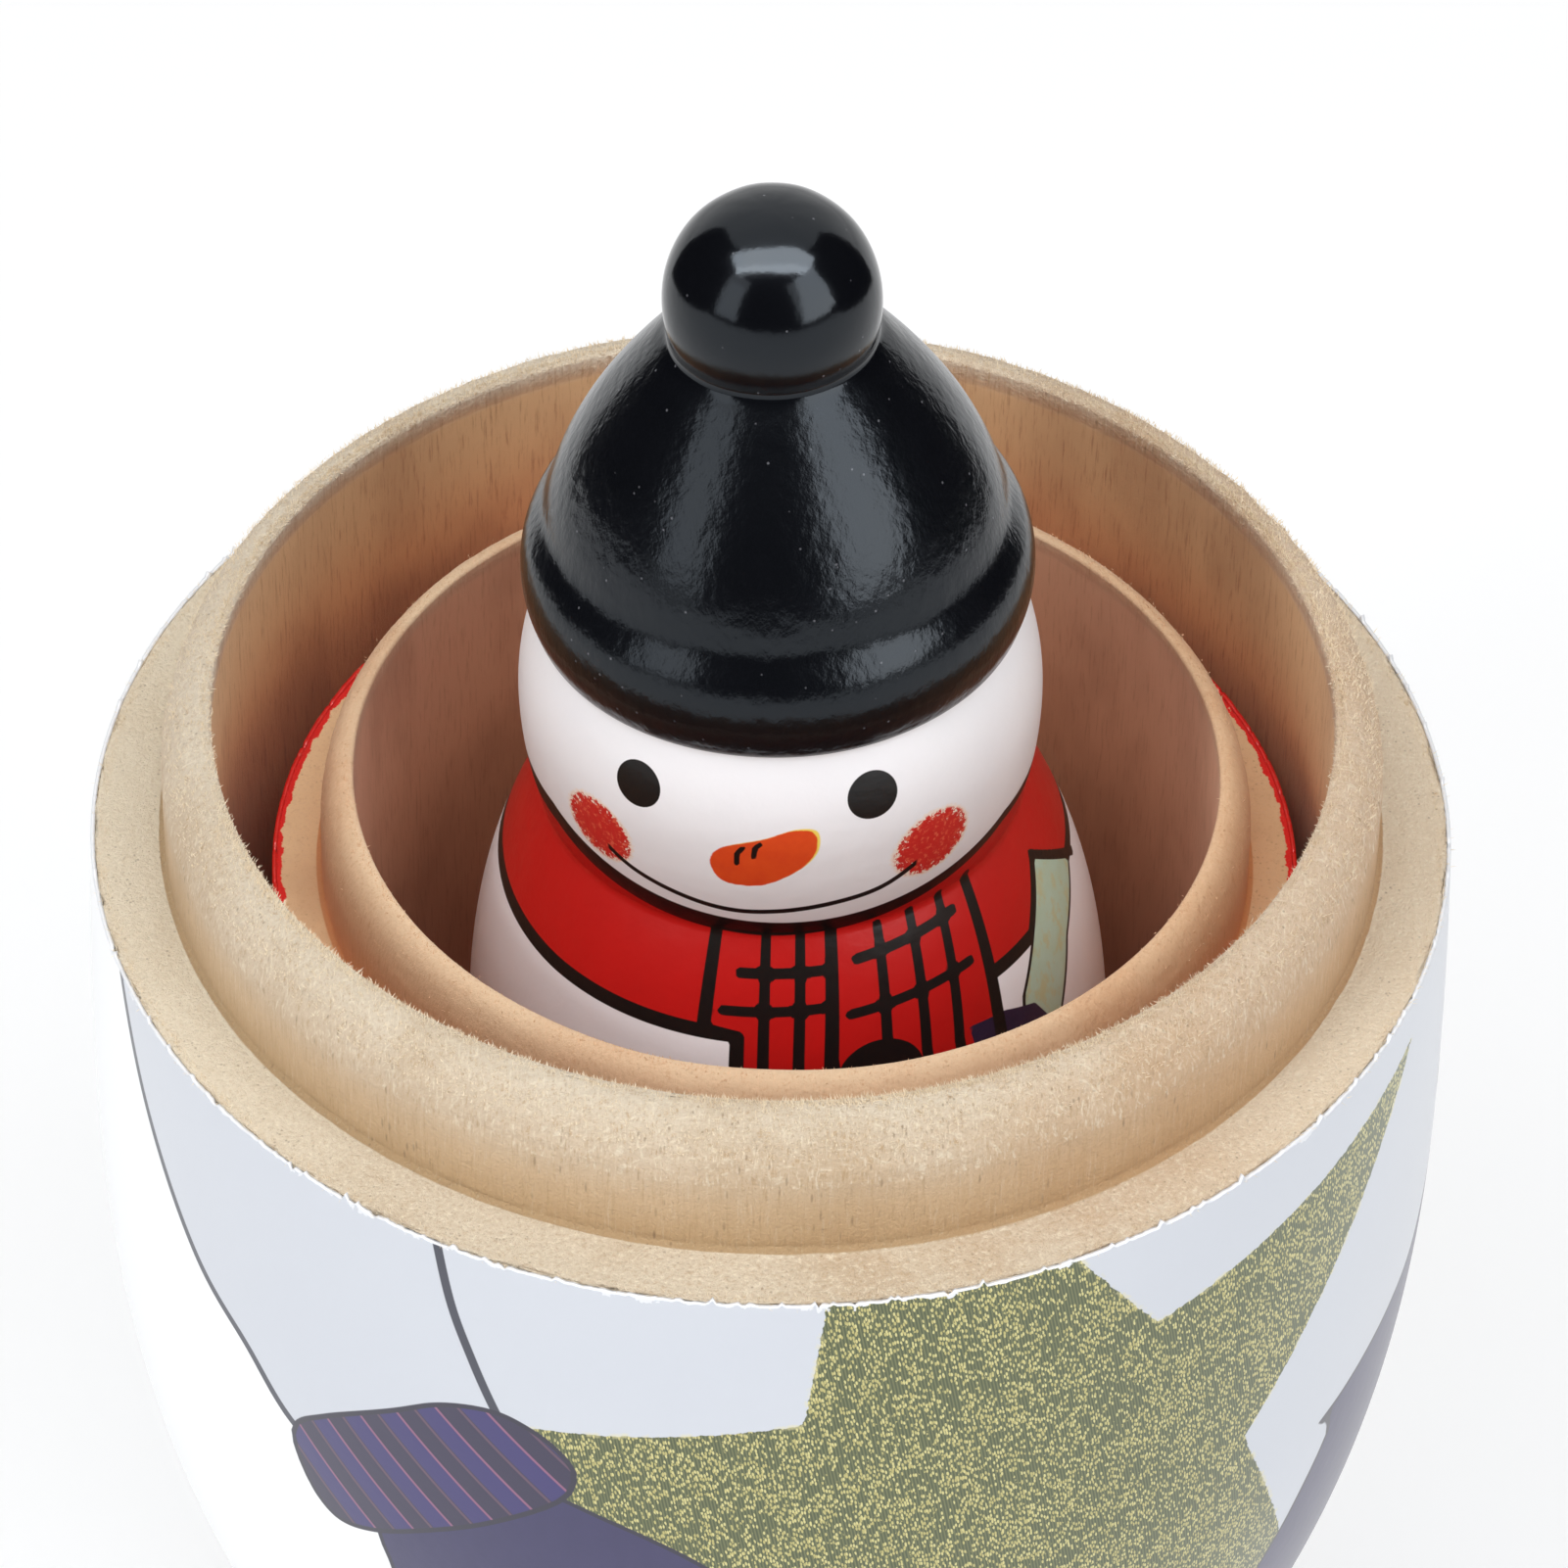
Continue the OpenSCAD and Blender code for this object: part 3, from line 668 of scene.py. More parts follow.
# %% finish helper
class Finish:
    """One material on the bench: its node tree, its shader, and helpers that each add a node and
    return its output."""

    def __init__(self, name, roughness=0.5, **plain):
        self.material = bpy.data.materials.new(name)
        self.material.use_nodes = True
        self.tree = self.material.node_tree
        self.shader = self.tree.nodes["Principled BSDF"]
        self.shader.inputs["Roughness"].default_value = roughness
        for socket, value in plain.items():
            self.shader.inputs[socket.replace("_", " ")].default_value = value
        self.place = self.tree.nodes.new("ShaderNodeTexCoord").outputs["Object"]

    def join(self, value, socket):
        """Links an output to a socket, or writes a plain value into it."""
        if isinstance(value, bpy.types.NodeSocket):
            self.tree.links.new(value, socket)
        else:
            socket.default_value = value

    def calc(self, operation, a, b=0.0):
        """One sum on one or two numbers, named as Blender names it."""
        node = self.tree.nodes.new("ShaderNodeMath")
        node.operation = operation
        self.join(a, node.inputs[0])
        self.join(b, node.inputs[1])
        return node.outputs[0]

    def times(self, first, *others):
        """Product of two or more numbers."""
        for other in others:
            first = self.calc("MULTIPLY", first, other)
        return first

    def kept(self, name):
        """A number that the piece keeps at each point."""
        node = self.tree.nodes.new("ShaderNodeAttribute")
        node.attribute_name = name
        return node.outputs["Fac"]

    def kept_colour(self, name):
        """A colour that the piece keeps at each point."""
        node = self.tree.nodes.new("ShaderNodeAttribute")
        node.attribute_name = name
        return node.outputs["Color"]

    def millimetres(self, per=(1, 1, 1), start=(0, 0, 0)):
        """Place on the piece in millimetres, times per along each axis, moved by start."""
        node = self.tree.nodes.new("ShaderNodeMapping")
        self.join(self.place, node.inputs["Vector"])
        node.inputs["Scale"].default_value = [1000 * p for p in per]
        node.inputs["Location"].default_value = start
        return node.outputs["Vector"]

    def noise(self, per, detail=2.0, rough=0.55, start=(0, 0, 0)):
        """Soft noise, 0 to 1, with about per clouds a millimetre along each axis."""
        node = self.tree.nodes.new("ShaderNodeTexNoise")
        self.join(self.millimetres(per, start), node.inputs["Vector"])
        node.inputs["Scale"].default_value = 1.0
        node.inputs["Detail"].default_value = detail
        node.inputs["Roughness"].default_value = rough
        return node.outputs["Fac"]

    def grains(self, per, start=(0, 0, 0)):
        """Distance to the nearest of scattered points, about per a millimetre along each axis."""
        node = self.tree.nodes.new("ShaderNodeTexVoronoi")
        self.join(self.millimetres(per, start), node.inputs["Vector"])
        node.inputs["Scale"].default_value = 1.0
        return node.outputs["Distance"]

    def dashes(self, u, v):
        """Cells of unit size in two kept numbers: how far each point is from its cell's middle,
        and the cell's own random draw."""
        pair = self.tree.nodes.new("ShaderNodeCombineXYZ")
        self.join(u, pair.inputs[0])
        self.join(v, pair.inputs[1])
        cells = self.tree.nodes.new("ShaderNodeTexVoronoi")
        cells.voronoi_dimensions = "2D"
        cells.inputs["Scale"].default_value = 1.0
        self.join(pair.outputs[0], cells.inputs["Vector"])
        part = self.tree.nodes.new("ShaderNodeSeparateColor")
        self.join(cells.outputs["Color"], part.inputs[0])
        return cells.outputs["Distance"], part.outputs[0]

    def between(self, value, low, high):
        """0 at low and 1 at high, or the other way round, with a smooth step from one to the other."""
        node = self.tree.nodes.new("ShaderNodeMapRange")
        node.interpolation_type = "SMOOTHSTEP"
        self.join(value, node.inputs["Value"])
        node.inputs["From Min"].default_value = low
        node.inputs["From Max"].default_value = high
        return node.outputs["Result"]

    def edge(self, distance, soft=0.03):
        """1 inside a kept shape and 0 outside, softened on both sides of its outline."""
        return self.between(distance, soft, -soft)

    def pen_line(self, distance, half, soft=0.03):
        """1 within half a line's width of a kept outline, softened at both borders."""
        return self.between(self.calc("ABSOLUTE", distance), half + soft, half - soft)

    def lay(self, amount, below, above):
        """One colour over another, from 0, only the lower one, to 1, only the upper one."""
        node = self.tree.nodes.new("ShaderNodeMix")
        node.data_type = "RGBA"
        self.join(amount, node.inputs["Factor"])
        self.join(below, node.inputs[6])
        self.join(above, node.inputs[7])
        return node.outputs[2]

    def relief(self, height, depth):
        """Shades the surface as if a height from 0 to 1 were depth millimetres deep."""
        node = self.tree.nodes.new("ShaderNodeBump")
        node.inputs["Distance"].default_value = depth * MM
        self.join(height, node.inputs["Height"])
        self.tree.links.new(node.outputs["Normal"], self.shader.inputs["Normal"])

    def colour(self, value):
        """Gives the shader its colour."""
        self.join(value, self.shader.inputs["Base Color"])

    def on(self, piece):
        """Puts the finish on a piece."""
        piece.data.materials.append(self.material)
        print(self.material.name, "on", piece.name, "from", len(self.tree.nodes), "nodes")


def tint(piece, colours, columns, fill):
    """Keeps one colour for each row of a turned piece."""
    rows = np.repeat(np.asarray(colours, dtype=np.float32)[:, None, :], columns, 1).reshape(-1, 4)
    spare = len(piece.data.vertices) - len(rows)
    rows = np.concatenate([rows, np.tile(np.float32(fill), (spare, 1))])
    layer = piece.data.attributes.new("tint", "FLOAT_COLOR", "POINT")
    layer.data.foreach_set("color", rows.ravel())


# %% [markdown]
# ## Bare wood
# Basswood is pale and even. The grain runs along the lathe axis, so the shoulder and the lip show
# end grain, sandy with small pores, while the wall of the spigot shows upright fibres. One solid
# pattern, stretched along the axis, gives both. The base colour of each row is kept on the piece. It
# holds painted shade at the spigot's root and down the bore, and painted light on the shoulders.

# %% wood finish
def wood_rows(rows, s, stops):
    """Colour of each row: by height over the shoulder outside, by depth under the lip inside, blended
    between stops. -1 is the shoulder and what lies under it, 1 the top of the lip, 2 the deep bowl.
    The stops hold painted shade: darker at the spigot's root, and darker and redder deeper in the bore."""
    zone, z = rows[:, 2], rows[:, 1]
    outside = np.clip((z - s["h"]) / s["spigot_h"], 0, 1)
    inside = 1 + np.clip((s["h"] + s["spigot_h"] - z) / (s["h"] * 0.75), 0, 1)
    along = np.where(zone <= 1, -1.0, np.where(zone <= 3, outside, inside))
    places = np.array([place for place, _ in stops])
    colours = np.array([colour for _, colour in stops])
    return np.stack([np.interp(along, places, colours[:, k]) for k in range(4)], -1)


def wood_finish(name, streak, pore, fibre_depth, dark, light, speck):
    """Row colour, changed by upright streaks on walls, by even grit on the shoulder, by strands on the
    lip and by short dark pores. The shoulder gets painted light towards both sides, and inside the
    bore the dark streaks and clouds take a deeper brown as painted shade."""
    wood = Finish(name, 0.85, Sheen_Weight=0.1, Specular_IOR_Level=0.2)
    zone = wood.kept("zone")
    outdoors = wood.between(zone, 3.9, 3.2)
    shoulder = wood.times(wood.between(zone, 0.4, 0.9), wood.between(zone, 1.9, 1.2))
    streaks = wood.noise((5.0, 5.0, 0.4), 4.0, 0.7)
    grit = wood.noise((3.4, 3.4, 3.4), 3.0, 0.75, (7, 3, 1))
    clouds = wood.noise((0.12, 0.12, 0.06), 3.0, 0.55, (2, 9, 4))
    pores = wood.between(wood.grains((2.3, 2.3, 0.5), (3, 1, 0)), 0.25, 0.08)
    few = wood.between(wood.noise((0.3, 0.3, 0.2), 2.0, 0.6, (8, 8, 2)), 0.42, 0.62)
    tone = wood.kept_colour("tint")
    # Inside the bore the streaks and clouds darken to a deeper brown: painted shade.
    shade = wood.lay(outdoors, ink(146, 92, 60), dark)
    tone = wood.lay(wood.times(wood.between(clouds, 0.42, 0.72), 0.35), tone, shade)
    warm = wood.between(wood.calc("ADD", wood.kept("angle_sine"), wood.times(clouds, 0.8)), 0.5, 1.4)
    tone = wood.lay(wood.times(warm, 0.3, outdoors), tone, ink(206, 148, 96))
    strands = wood.calc("MAXIMUM", wood.noise((6.5, 1.2, 1.2), 2.0, 0.6),
                        wood.noise((1.2, 6.5, 1.2), 2.0, 0.6, (5, 5, 5)))
    lip_top = wood.times(wood.between(zone, 2.2, 2.8), outdoors)
    tone = wood.lay(wood.times(wood.between(strands, 0.57, 0.7), lip_top, streak), tone, light)
    tone = wood.lay(wood.times(wood.between(strands, 0.47, 0.38), lip_top, streak), tone, dark)
    upright = wood.lay(wood.times(wood.between(streaks, 0.5, 0.72), streak), tone, shade)
    upright = wood.lay(wood.times(wood.between(streaks, 0.46, 0.28), streak * 0.45, outdoors), upright, light)
    sandy = wood.lay(wood.times(wood.between(grit, 0.52, 0.66), streak * 0.8), tone, dark)
    sandy = wood.lay(wood.times(wood.between(grit, 0.48, 0.34), streak * 1.3), sandy, light)
    # Painted light: the shoulder is made lighter towards both sides.
    painted_side_light = wood.between(wood.calc("ABSOLUTE", wood.kept("angle_sine")), 0.45, 0.95)
    sandy = wood.lay(wood.times(painted_side_light, streak * 1.1), sandy, light)
    tone = wood.lay(shoulder, upright, sandy)
    tone = wood.lay(wood.times(pores, few, outdoors, pore), tone, speck)
    wood.colour(tone)
    height = wood.calc("ADD", wood.times(streaks, 0.6), wood.times(grit, 0.8))
    wood.relief(wood.times(height, wood.calc("ADD", outdoors, 0.25)), fibre_depth)
    return wood


# %% wood on the halves
pale_wood = wood_finish("pale_basswood", streak=0.5, pore=0.5, fibre_depth=0.2, dark=ink(184, 152, 112),
                        light=ink(240, 228, 204), speck=ink(128, 104, 76))
peach_wood = wood_finish("peach_basswood", streak=0.3, pore=0.3, fibre_depth=0.06, dark=ink(190, 136, 96),
                         light=ink(232, 196, 160), speck=ink(150, 100, 66))
pale_wood.on(outer_wood)
# Painted shade in these row colours: darker at the spigot's root, and darker and redder down the bore.
tint(outer_wood, wood_rows(outer_rows, outer, (
    (-1.0, ink(218, 203, 180)), (0.0, ink(180, 151, 113)), (0.08, ink(203, 171, 131)),
    (0.35, ink(210, 180, 144)), (0.65, ink(213, 191, 164)), (1.0, ink(218, 204, 183)),
    (1.03, ink(216, 181, 137)), (1.3, ink(208, 150, 102)), (2.0, ink(192, 110, 71)))),
    OUTER_AROUND, ink(200, 160, 120))
# Painted light: the middle shoulder is near white against the shade in the gap. Painted shade darkens the
# spigot's root and the bore.
tint(middle_wood, wood_rows(middle_rows, middle, (
    (-1.0, ink(253, 220, 172)), (0.0, ink(220, 156, 106)), (0.4, ink(220, 174, 130)),
    (1.0, ink(216, 187, 154)), (1.02, ink(222, 176, 140)), (1.3, ink(220, 162, 126)),
    (2.0, ink(196, 126, 92)))), MIDDLE_AROUND, ink(190, 140, 100))

# %% fibre finish
nap = Finish("torn_fibres", 0.9, Sheen_Weight=0.1)
nap.colour(nap.lay(nap.noise((0.8, 0.8, 0.8), 2.0), ink(246, 236, 214), ink(222, 198, 162)))
nap.on(outer_nap)
nap.on(edge_nap)
peach_nap = Finish("torn_peach_fibres", 0.9, Sheen_Weight=0.1)
peach_nap.colour(peach_nap.lay(peach_nap.noise((0.8, 0.8, 0.8), 2.0), ink(232, 196, 158), ink(214, 170, 130)))
peach_nap.on(middle_nap)

# %% [markdown]
# ## Red over the middle shoulder
# The red of the middle film laps over the edge of the shoulder, with a ragged inner border. Each
# point of the wood keeps its distance from the outer edge, and noise roughens where the red stops.

# %% red edge on the middle shoulder
UNDER_FILM, NEVER_RED = -1.0, 9.0
middle_zone = middle_rows[:, 2]
edge_gap = np.where(middle_zone == 1, middle["rim"] - middle_rows[:, 0],
                    np.where(middle_zone == 0, UNDER_FILM, NEVER_RED))
store(middle_wood, "edge_gap", np.repeat(edge_gap[:, None], MIDDLE_AROUND, 1), NEVER_RED)
ragged = peach_wood.times(peach_wood.noise((0.55, 0.55, 0.55), 4.0, 0.7, (6, 1, 6)), 1.1)
lapped = peach_wood.calc("SUBTRACT", peach_wood.kept("edge_gap"), ragged)
bare_tone = peach_wood.shader.inputs["Base Color"].links[0].from_socket
peach_wood.colour(peach_wood.lay(peach_wood.between(lapped, 0.06, -0.02), bare_tone, ink(236, 36, 28)))
peach_wood.on(middle_wood)

# %% [markdown]
# ## The outer film
# White paper-like film with a satin face. Its print is laid on in order: arm lines, star, mitten,
# cuff. The star is olive with gold flecks in short upright dashes on a fine screen of slanting
# lines. Along the torn edge the white core of the film shows.

# %% white ground and star
film = Finish("outer_print", 0.34, Specular_IOR_Level=0.5, Coat_Weight=0.5, Coat_Roughness=0.25)
white = film.lay(film.noise((0.05, 0.05, 0.05), 2.0), ink(207, 211, 218), ink(202, 206, 215))
white = film.lay(film.edge(film.kept("beside"), 0.05), white, ink(248, 249, 250))
patchy = film.noise((0.7, 0.7, 0.7), 2.0, 0.6, (5, 2, 8))
SCREEN_PITCH, DASH_WIDE, DASH_TALL = 0.19, 0.16, 0.38
screen = film.calc("SINE", film.times(film.kept("slant"), TURN / SCREEN_PITCH))
olive = film.lay(film.between(screen, -0.6, 0.8), ink(72, 80, 46), ink(104, 110, 68))
from_middle, draw = film.dashes(film.times(film.kept("slant"), 1 / DASH_WIDE),
                                film.times(film.kept("along"), 1 / DASH_TALL))
picked = film.between(film.calc("SUBTRACT", film.times(patchy, 2.0), draw), 0.35, 0.43)
gold = film.times(film.between(from_middle, 0.48, 0.3), picked)
gold_ink = film.lay(film.between(draw, 0.1, 0.4), ink(212, 203, 136), ink(188, 178, 110))
olive = film.lay(gold, olive, gold_ink)
sleeve_line = film.pen_line(film.kept("sleeve"), 0.3, 0.04)
coat_line = film.pen_line(film.kept("beside"), 0.3, 0.04)
white = film.lay(film.calc("MAXIMUM", sleeve_line, coat_line), white, ink(58, 60, 74))
star_d = film.calc("ADD", film.kept("star"), film.times(film.noise((1.8, 1.8, 1.8), 3.0), 0.4))
tone = film.lay(film.between(star_d, 0.23, 0.17), white, olive)
fringe = film.between(film.calc("ABSOLUTE", film.calc("SUBTRACT", star_d, 0.2)), 0.3, 0.05)
loose = film.between(film.noise((0.7, 0.7, 0.7), 3.0, 0.7, (4, 4, 1)), 0.5, 0.62)
tone = film.lay(film.times(fringe, loose, 0.5), tone, ink(226, 216, 160))
print("white ground and star", len(film.tree.nodes), "nodes")

# %% mitten and cuff
weave = film.noise((1.2, 1.2, 0.6), 3.0, 0.6, (3, 3, 9))
violet = film.lay(weave, ink(42, 37, 84), ink(50, 45, 93))
mitten_d = film.kept("mitten")
outline_ink = ink(38, 35, 56)
tone = film.lay(film.edge(mitten_d), tone, violet)
tone = film.lay(film.pen_line(mitten_d, 0.16, 0.04), tone, outline_ink)
RIB_PITCH = 3.1
phase = film.calc("FRACT", film.times(film.kept("rib"), 1 / RIB_PITCH))
cuff = film.lay(film.between(phase, 0.42, 0.5), ink(50, 41, 106), ink(42, 34, 68))
cuff = film.lay(film.between(phase, 0.985, 0.999), cuff, ink(54, 46, 104))
pink = film.between(film.calc("ABSOLUTE", film.calc("SUBTRACT", phase, 0.46)), 0.04, 0.015)
cuff = film.lay(pink, cuff, ink(140, 86, 118))
faint = film.between(film.calc("ABSOLUTE", film.calc("SUBTRACT", phase, 0.94)), 0.045, 0.015)
cuff = film.lay(film.times(faint, 0.7), cuff, ink(104, 72, 92))
cuff_d = film.kept("cuff")
tone = film.lay(film.edge(cuff_d), tone, cuff)
tone = film.lay(film.pen_line(cuff_d, 0.18, 0.04), tone, outline_ink)
print("mitten and cuff", len(film.tree.nodes), "nodes")

# %% torn edge of the outer film
peeled = film.times(film.between(film.noise((0.5, 0.5, 0.5), 4.0, 0.7), 0.5, 0.8), 0.6)
bare = film.calc("SUBTRACT", film.kept("torn"), peeled)
tone = film.lay(film.between(bare, 0.09, -0.02), tone, ink(230, 232, 236))
film.colour(tone)
film.relief(film.noise((0.9, 0.9, 0.9), 2.0), 0.012)
film.on(outer_film)

# %% [markdown]
# ## The middle film
# Only a thin edge of the red film shows, bright against the wood. Its torn edge is rough.

# %% middle film finish
red = Finish("red_print", 0.42, Specular_IOR_Level=0.45)
tone = red.lay(red.noise((0.8, 0.8, 0.4), 3.0), ink(234, 34, 26), ink(220, 29, 22))
torn = red.calc("ADD", red.kept("torn"), red.times(red.noise((1.6, 1.6, 1.6), 3.0, 0.7), 0.35))
tone = red.lay(red.between(torn, 0.16, 0.1), tone, ink(222, 70, 56))
red.colour(tone)
red.relief(red.noise((0.9, 0.9, 0.9), 2.0), 0.015)
red.on(middle_film)

# %% [markdown]
# ## Black lacquer
# The hat is dipped. The lacquer is thick, glossy and slightly uneven, so the edges of what it
# reflects look wavy, and a little dust is caught in it. A brown line at the foot of the brim is a
# painted reflection of the wood below. Below the hat the blank stays bare, and of that only the foot
# shows, because the film hides the rest.

# %% lacquer finish
KNOB_GLOSS, CROWN_GLOSS = 0.13, 0.19
lacquer = Finish("black_lacquer", KNOB_GLOSS, Specular_IOR_Level=0.36, Specular_Tint=(0.8, 0.9, 1.0, 1.0))
dust = lacquer.between(lacquer.grains((0.9, 0.9, 0.9), (1, 5, 2)), 0.09, 0.035)
over_line = lacquer.kept("over_line")
store(snowman_wood, "over_line", np.repeat(doll_rows[:, 1:2] - HAT, doll_columns, 1), 30.0)
# Painted reflection: a brown line at the foot of the brim, for the wood that the lacquer mirrors there.
brim_foot_reflection = lacquer.between(lacquer.calc("ADD", over_line, lacquer.noise((0.6, 0.6, 0.6), 2.0)), 1.05, 0.6)
KNOB_FOOT = 19.5
brushed = lacquer.between(over_line, KNOB_FOOT, KNOB_FOOT - 1.5)
duller = lacquer.times(brushed, CROWN_GLOSS - KNOB_GLOSS)
lacquer.join(lacquer.calc("ADD", duller, KNOB_GLOSS), lacquer.shader.inputs["Roughness"])
tone = lacquer.lay(lacquer.noise((0.3, 0.3, 0.3), 2.0), ink(8, 9, 12), ink(13, 14, 18))
tone = lacquer.lay(lacquer.times(dust, 0.45), tone, ink(130, 130, 136))
tone = lacquer.lay(brim_foot_reflection, tone, ink(44, 26, 18))
lacquer.colour(tone)
fine_ripple = lacquer.times(lacquer.noise((1.9, 1.9, 1.1), 3.0, 0.6), 0.42)
ripple = lacquer.calc("ADD", lacquer.noise((0.35, 0.35, 0.35), 2.0), fine_ripple)
lacquer.relief(lacquer.times(ripple, lacquer.calc("ADD", brushed, 0.3)), 0.075)
lacquer.on(snowman_wood)

# %% bare wood under the snowman's film
pale_wood.on(snowman_wood)
store(snowman_wood, "zone", np.repeat(doll_rows[:, 2:], doll_columns, 1), 2.0)
tint(snowman_wood, np.broadcast_to(ink(214, 190, 158), (len(doll_rows), 4)), doll_columns, ink(214, 190, 158))
bare_rows = (doll_rows[:-1, 2] < 2).repeat(doll_columns)
fans = np.concatenate([np.ones(doll_columns, bool), np.zeros(doll_columns, bool)])
bare_faces = np.concatenate([bare_rows, fans])
snowman_wood.data.polygons.foreach_set("material_index", bare_faces.astype(np.int32))
print(int(bare_faces.sum()), "faces of bare wood,", int((~bare_faces).sum()), "of lacquer")

# %% [markdown]
# ## The snowman's print
# White film with a soft gloss and a slight orange-peel face. The colours are laid on from back to
# front, as the printer would: scarf, tartan, outlines, strip and patch, and last the face.

# %% white, scarf and strip
snow = Finish("snow_print", 0.33, Specular_IOR_Level=0.45)
tone = snow.lay(snow.noise((0.15, 0.15, 0.15), 3.0), ink(244, 242, 244), ink(238, 236, 240))
scarf = snow.lay(snow.noise((0.5, 0.5, 0.5), 3.0), ink(194, 19, 18), ink(184, 15, 15))
black = ink(11, 10, 12)
tone = snow.lay(snow.edge(snow.kept("scarf")), tone, scarf)
tone = snow.lay(snow.pen_line(snow.kept("band_edge"), 0.44), tone, black)
strip = snow.lay(snow.noise((0.7, 0.7, 0.7), 3.0), ink(186, 214, 200), ink(178, 198, 166))
aged = snow.between(snow.noise((1.1, 1.1, 0.7), 3.0, 0.65, (1, 6, 3)), 0.48, 0.66)
strip = snow.lay(snow.times(aged, 0.55), strip, ink(196, 186, 124))
tone = snow.lay(snow.edge(snow.kept("strip")), tone, strip)
tone = snow.lay(snow.pen_line(snow.kept("strip"), 0.12), tone, black)
patch = snow.lay(snow.noise((0.9, 0.9, 0.9), 3.0), ink(48, 34, 66), ink(35, 25, 52))
tone = snow.lay(snow.edge(snow.kept("patch")), tone, patch)
tone = snow.lay(snow.edge(snow.kept("strip_top")), tone, black)
tone = snow.lay(snow.edge(snow.kept("pen")), tone, black)
tone = snow.lay(snow.edge(snow.kept("button")), tone, black)
print("scarf and strip", len(snow.tree.nodes), "nodes")

# %% cheeks, smile, nose and eyes
rub = snow.noise((3.2, 3.2, 3.2), 2.0, 0.75)
stipple = snow.calc("ADD", snow.kept("cheeks"), snow.times(snow.calc("SUBTRACT", rub, 0.46), 2.6))
cheek = snow.lay(snow.between(snow.noise((2.6, 2.6, 2.6), 2.0, 0.7, (4, 2, 2)), 0.52, 0.7),
                 ink(206, 40, 36), ink(228, 98, 72))
halo = snow.between(snow.calc("ADD", snow.kept("cheeks"), snow.times(rub, 0.5)), -0.05, 0.25)
tone = snow.lay(snow.times(halo, 0.45), tone, ink(248, 204, 150))
rubbed_on = snow.times(snow.between(stipple, -0.05, 0.25), snow.between(snow.kept("cheeks"), -0.12, 0.06))
tone = snow.lay(rubbed_on, tone, cheek)
smile_line = snow.times(snow.pen_line(snow.kept("smile"), 0.2), snow.edge(snow.kept("smile_end"), 0.1))
tone = snow.lay(smile_line, tone, black)
nose_d = snow.calc("ADD", snow.kept("nose"), snow.times(snow.noise((2.2, 2.2, 2.2), 3.0), 0.12))
nose = snow.lay(snow.noise((1.1, 1.1, 1.1), 3.0, 0.6, (2, 2, 2)), ink(214, 62, 26), ink(228, 84, 30))
tone = snow.lay(snow.edge(snow.kept("nose_slip"), 0.06), tone, ink(244, 214, 96))
tone = snow.lay(snow.between(nose_d, 0.14, 0.04), tone, nose)
tone = snow.lay(snow.edge(snow.kept("nostrils")), tone, black)
tone = snow.lay(snow.edge(snow.kept("eyes")), tone, black)
snow.colour(tone)
snow.relief(snow.noise((0.8, 0.8, 0.8), 3.0), 0.042)
snow.on(snowman_film)

# %% [markdown]
# ## Pieces and bodies
# Each piece rides on the body that carries it and stands for the solid of the same thing, so that
# lifting the middle half takes its film and its fibres along.

# %% riding
for piece, body, node, slot in ((outer_wood, "outer_half", "outer_base", "bare_wood"),
                                (outer_film, "outer_half", "outer_film", "white_film"),
                                (middle_wood, "middle_half", "middle_base", "peach_wood"),
                                (middle_film, "middle_half", "middle_film", "red_film"),
                                (snowman_wood, "snowman_doll", "snowman", "black_lacquer"),
                                (snowman_film, "snowman_doll", "snowman_film", "snow_film")):
    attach(piece, body)
    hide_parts(node)
for piece, body, slot in ((outer_nap, "outer_half", "bare_wood"), (edge_nap, "outer_half", "bare_wood"),
                          (middle_nap, "middle_half", "peach_wood")):
    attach(piece, body)
print("six dressed pieces and three naps of fibres ride on three bodies")

# %% [markdown]
# ## The studio
# A light tent: white floor and background, one large soft box overhead and towards the viewer, and
# one at each side. The lacquer mirrors the room, so a dark curtain hangs round the viewer's side. It
# is there for mirrored light alone: it casts no shadow and the camera doesn't see it. Two smaller
# flags of the same cloth stand at the sides, close by, and darken what the brim mirrors.

# %% floor
def staged(name, points, faces):
    """A stage mesh from points in metres."""
    mesh = bpy.data.meshes.new(name)
    mesh.from_pydata(points, [], faces)
    mesh.update()
    thing = bpy.data.objects.new(name, mesh)
    scene.collection.objects.link(thing)
    return thing


FLOOR_HALF = 3.0
floor_corners = [(-FLOOR_HALF, -FLOOR_HALF, 0), (FLOOR_HALF, -FLOOR_HALF, 0),
                 (FLOOR_HALF, FLOOR_HALF, 0), (-FLOOR_HALF, FLOOR_HALF, 0)]
floor = staged("floor", floor_corners, [(0, 1, 2, 3)])
paper = Finish("white_paper", 0.9)
paper.colour(paper.lay(paper.noise((0.01, 0.01, 0.01), 2.0), ink(249, 250, 252), ink(247, 249, 251)))
rays = paper.tree.nodes.new("ShaderNodeLightPath")
glow = paper.tree.nodes.new("ShaderNodeEmission")
mixed = paper.tree.nodes.new("ShaderNodeMixShader")
seen = paper.calc("MAXIMUM", rays.outputs["Is Camera Ray"], rays.outputs["Is Glossy Ray"])
seen = paper.calc("MAXIMUM", seen, rays.outputs["Is Transmission Ray"])
SHOWN_WHITE = 0.62
paper.join(paper.times(seen, SHOWN_WHITE), mixed.inputs["Fac"])
paper.join(paper.shader.outputs[0], mixed.inputs[1])
paper.join(glow.outputs[0], mixed.inputs[2])
paper.join(mixed.outputs[0], paper.tree.nodes["Material Output"].inputs["Surface"])
paper.on(floor)


# %% curtain and flags
def mirrored_only(thing, finish):
    """Lets a stage piece be seen in reflections and nowhere else."""
    finish.on(thing)
    thing.visible_camera = False
    thing.visible_diffuse = False
    thing.visible_shadow = False
    thing.visible_transmission = False


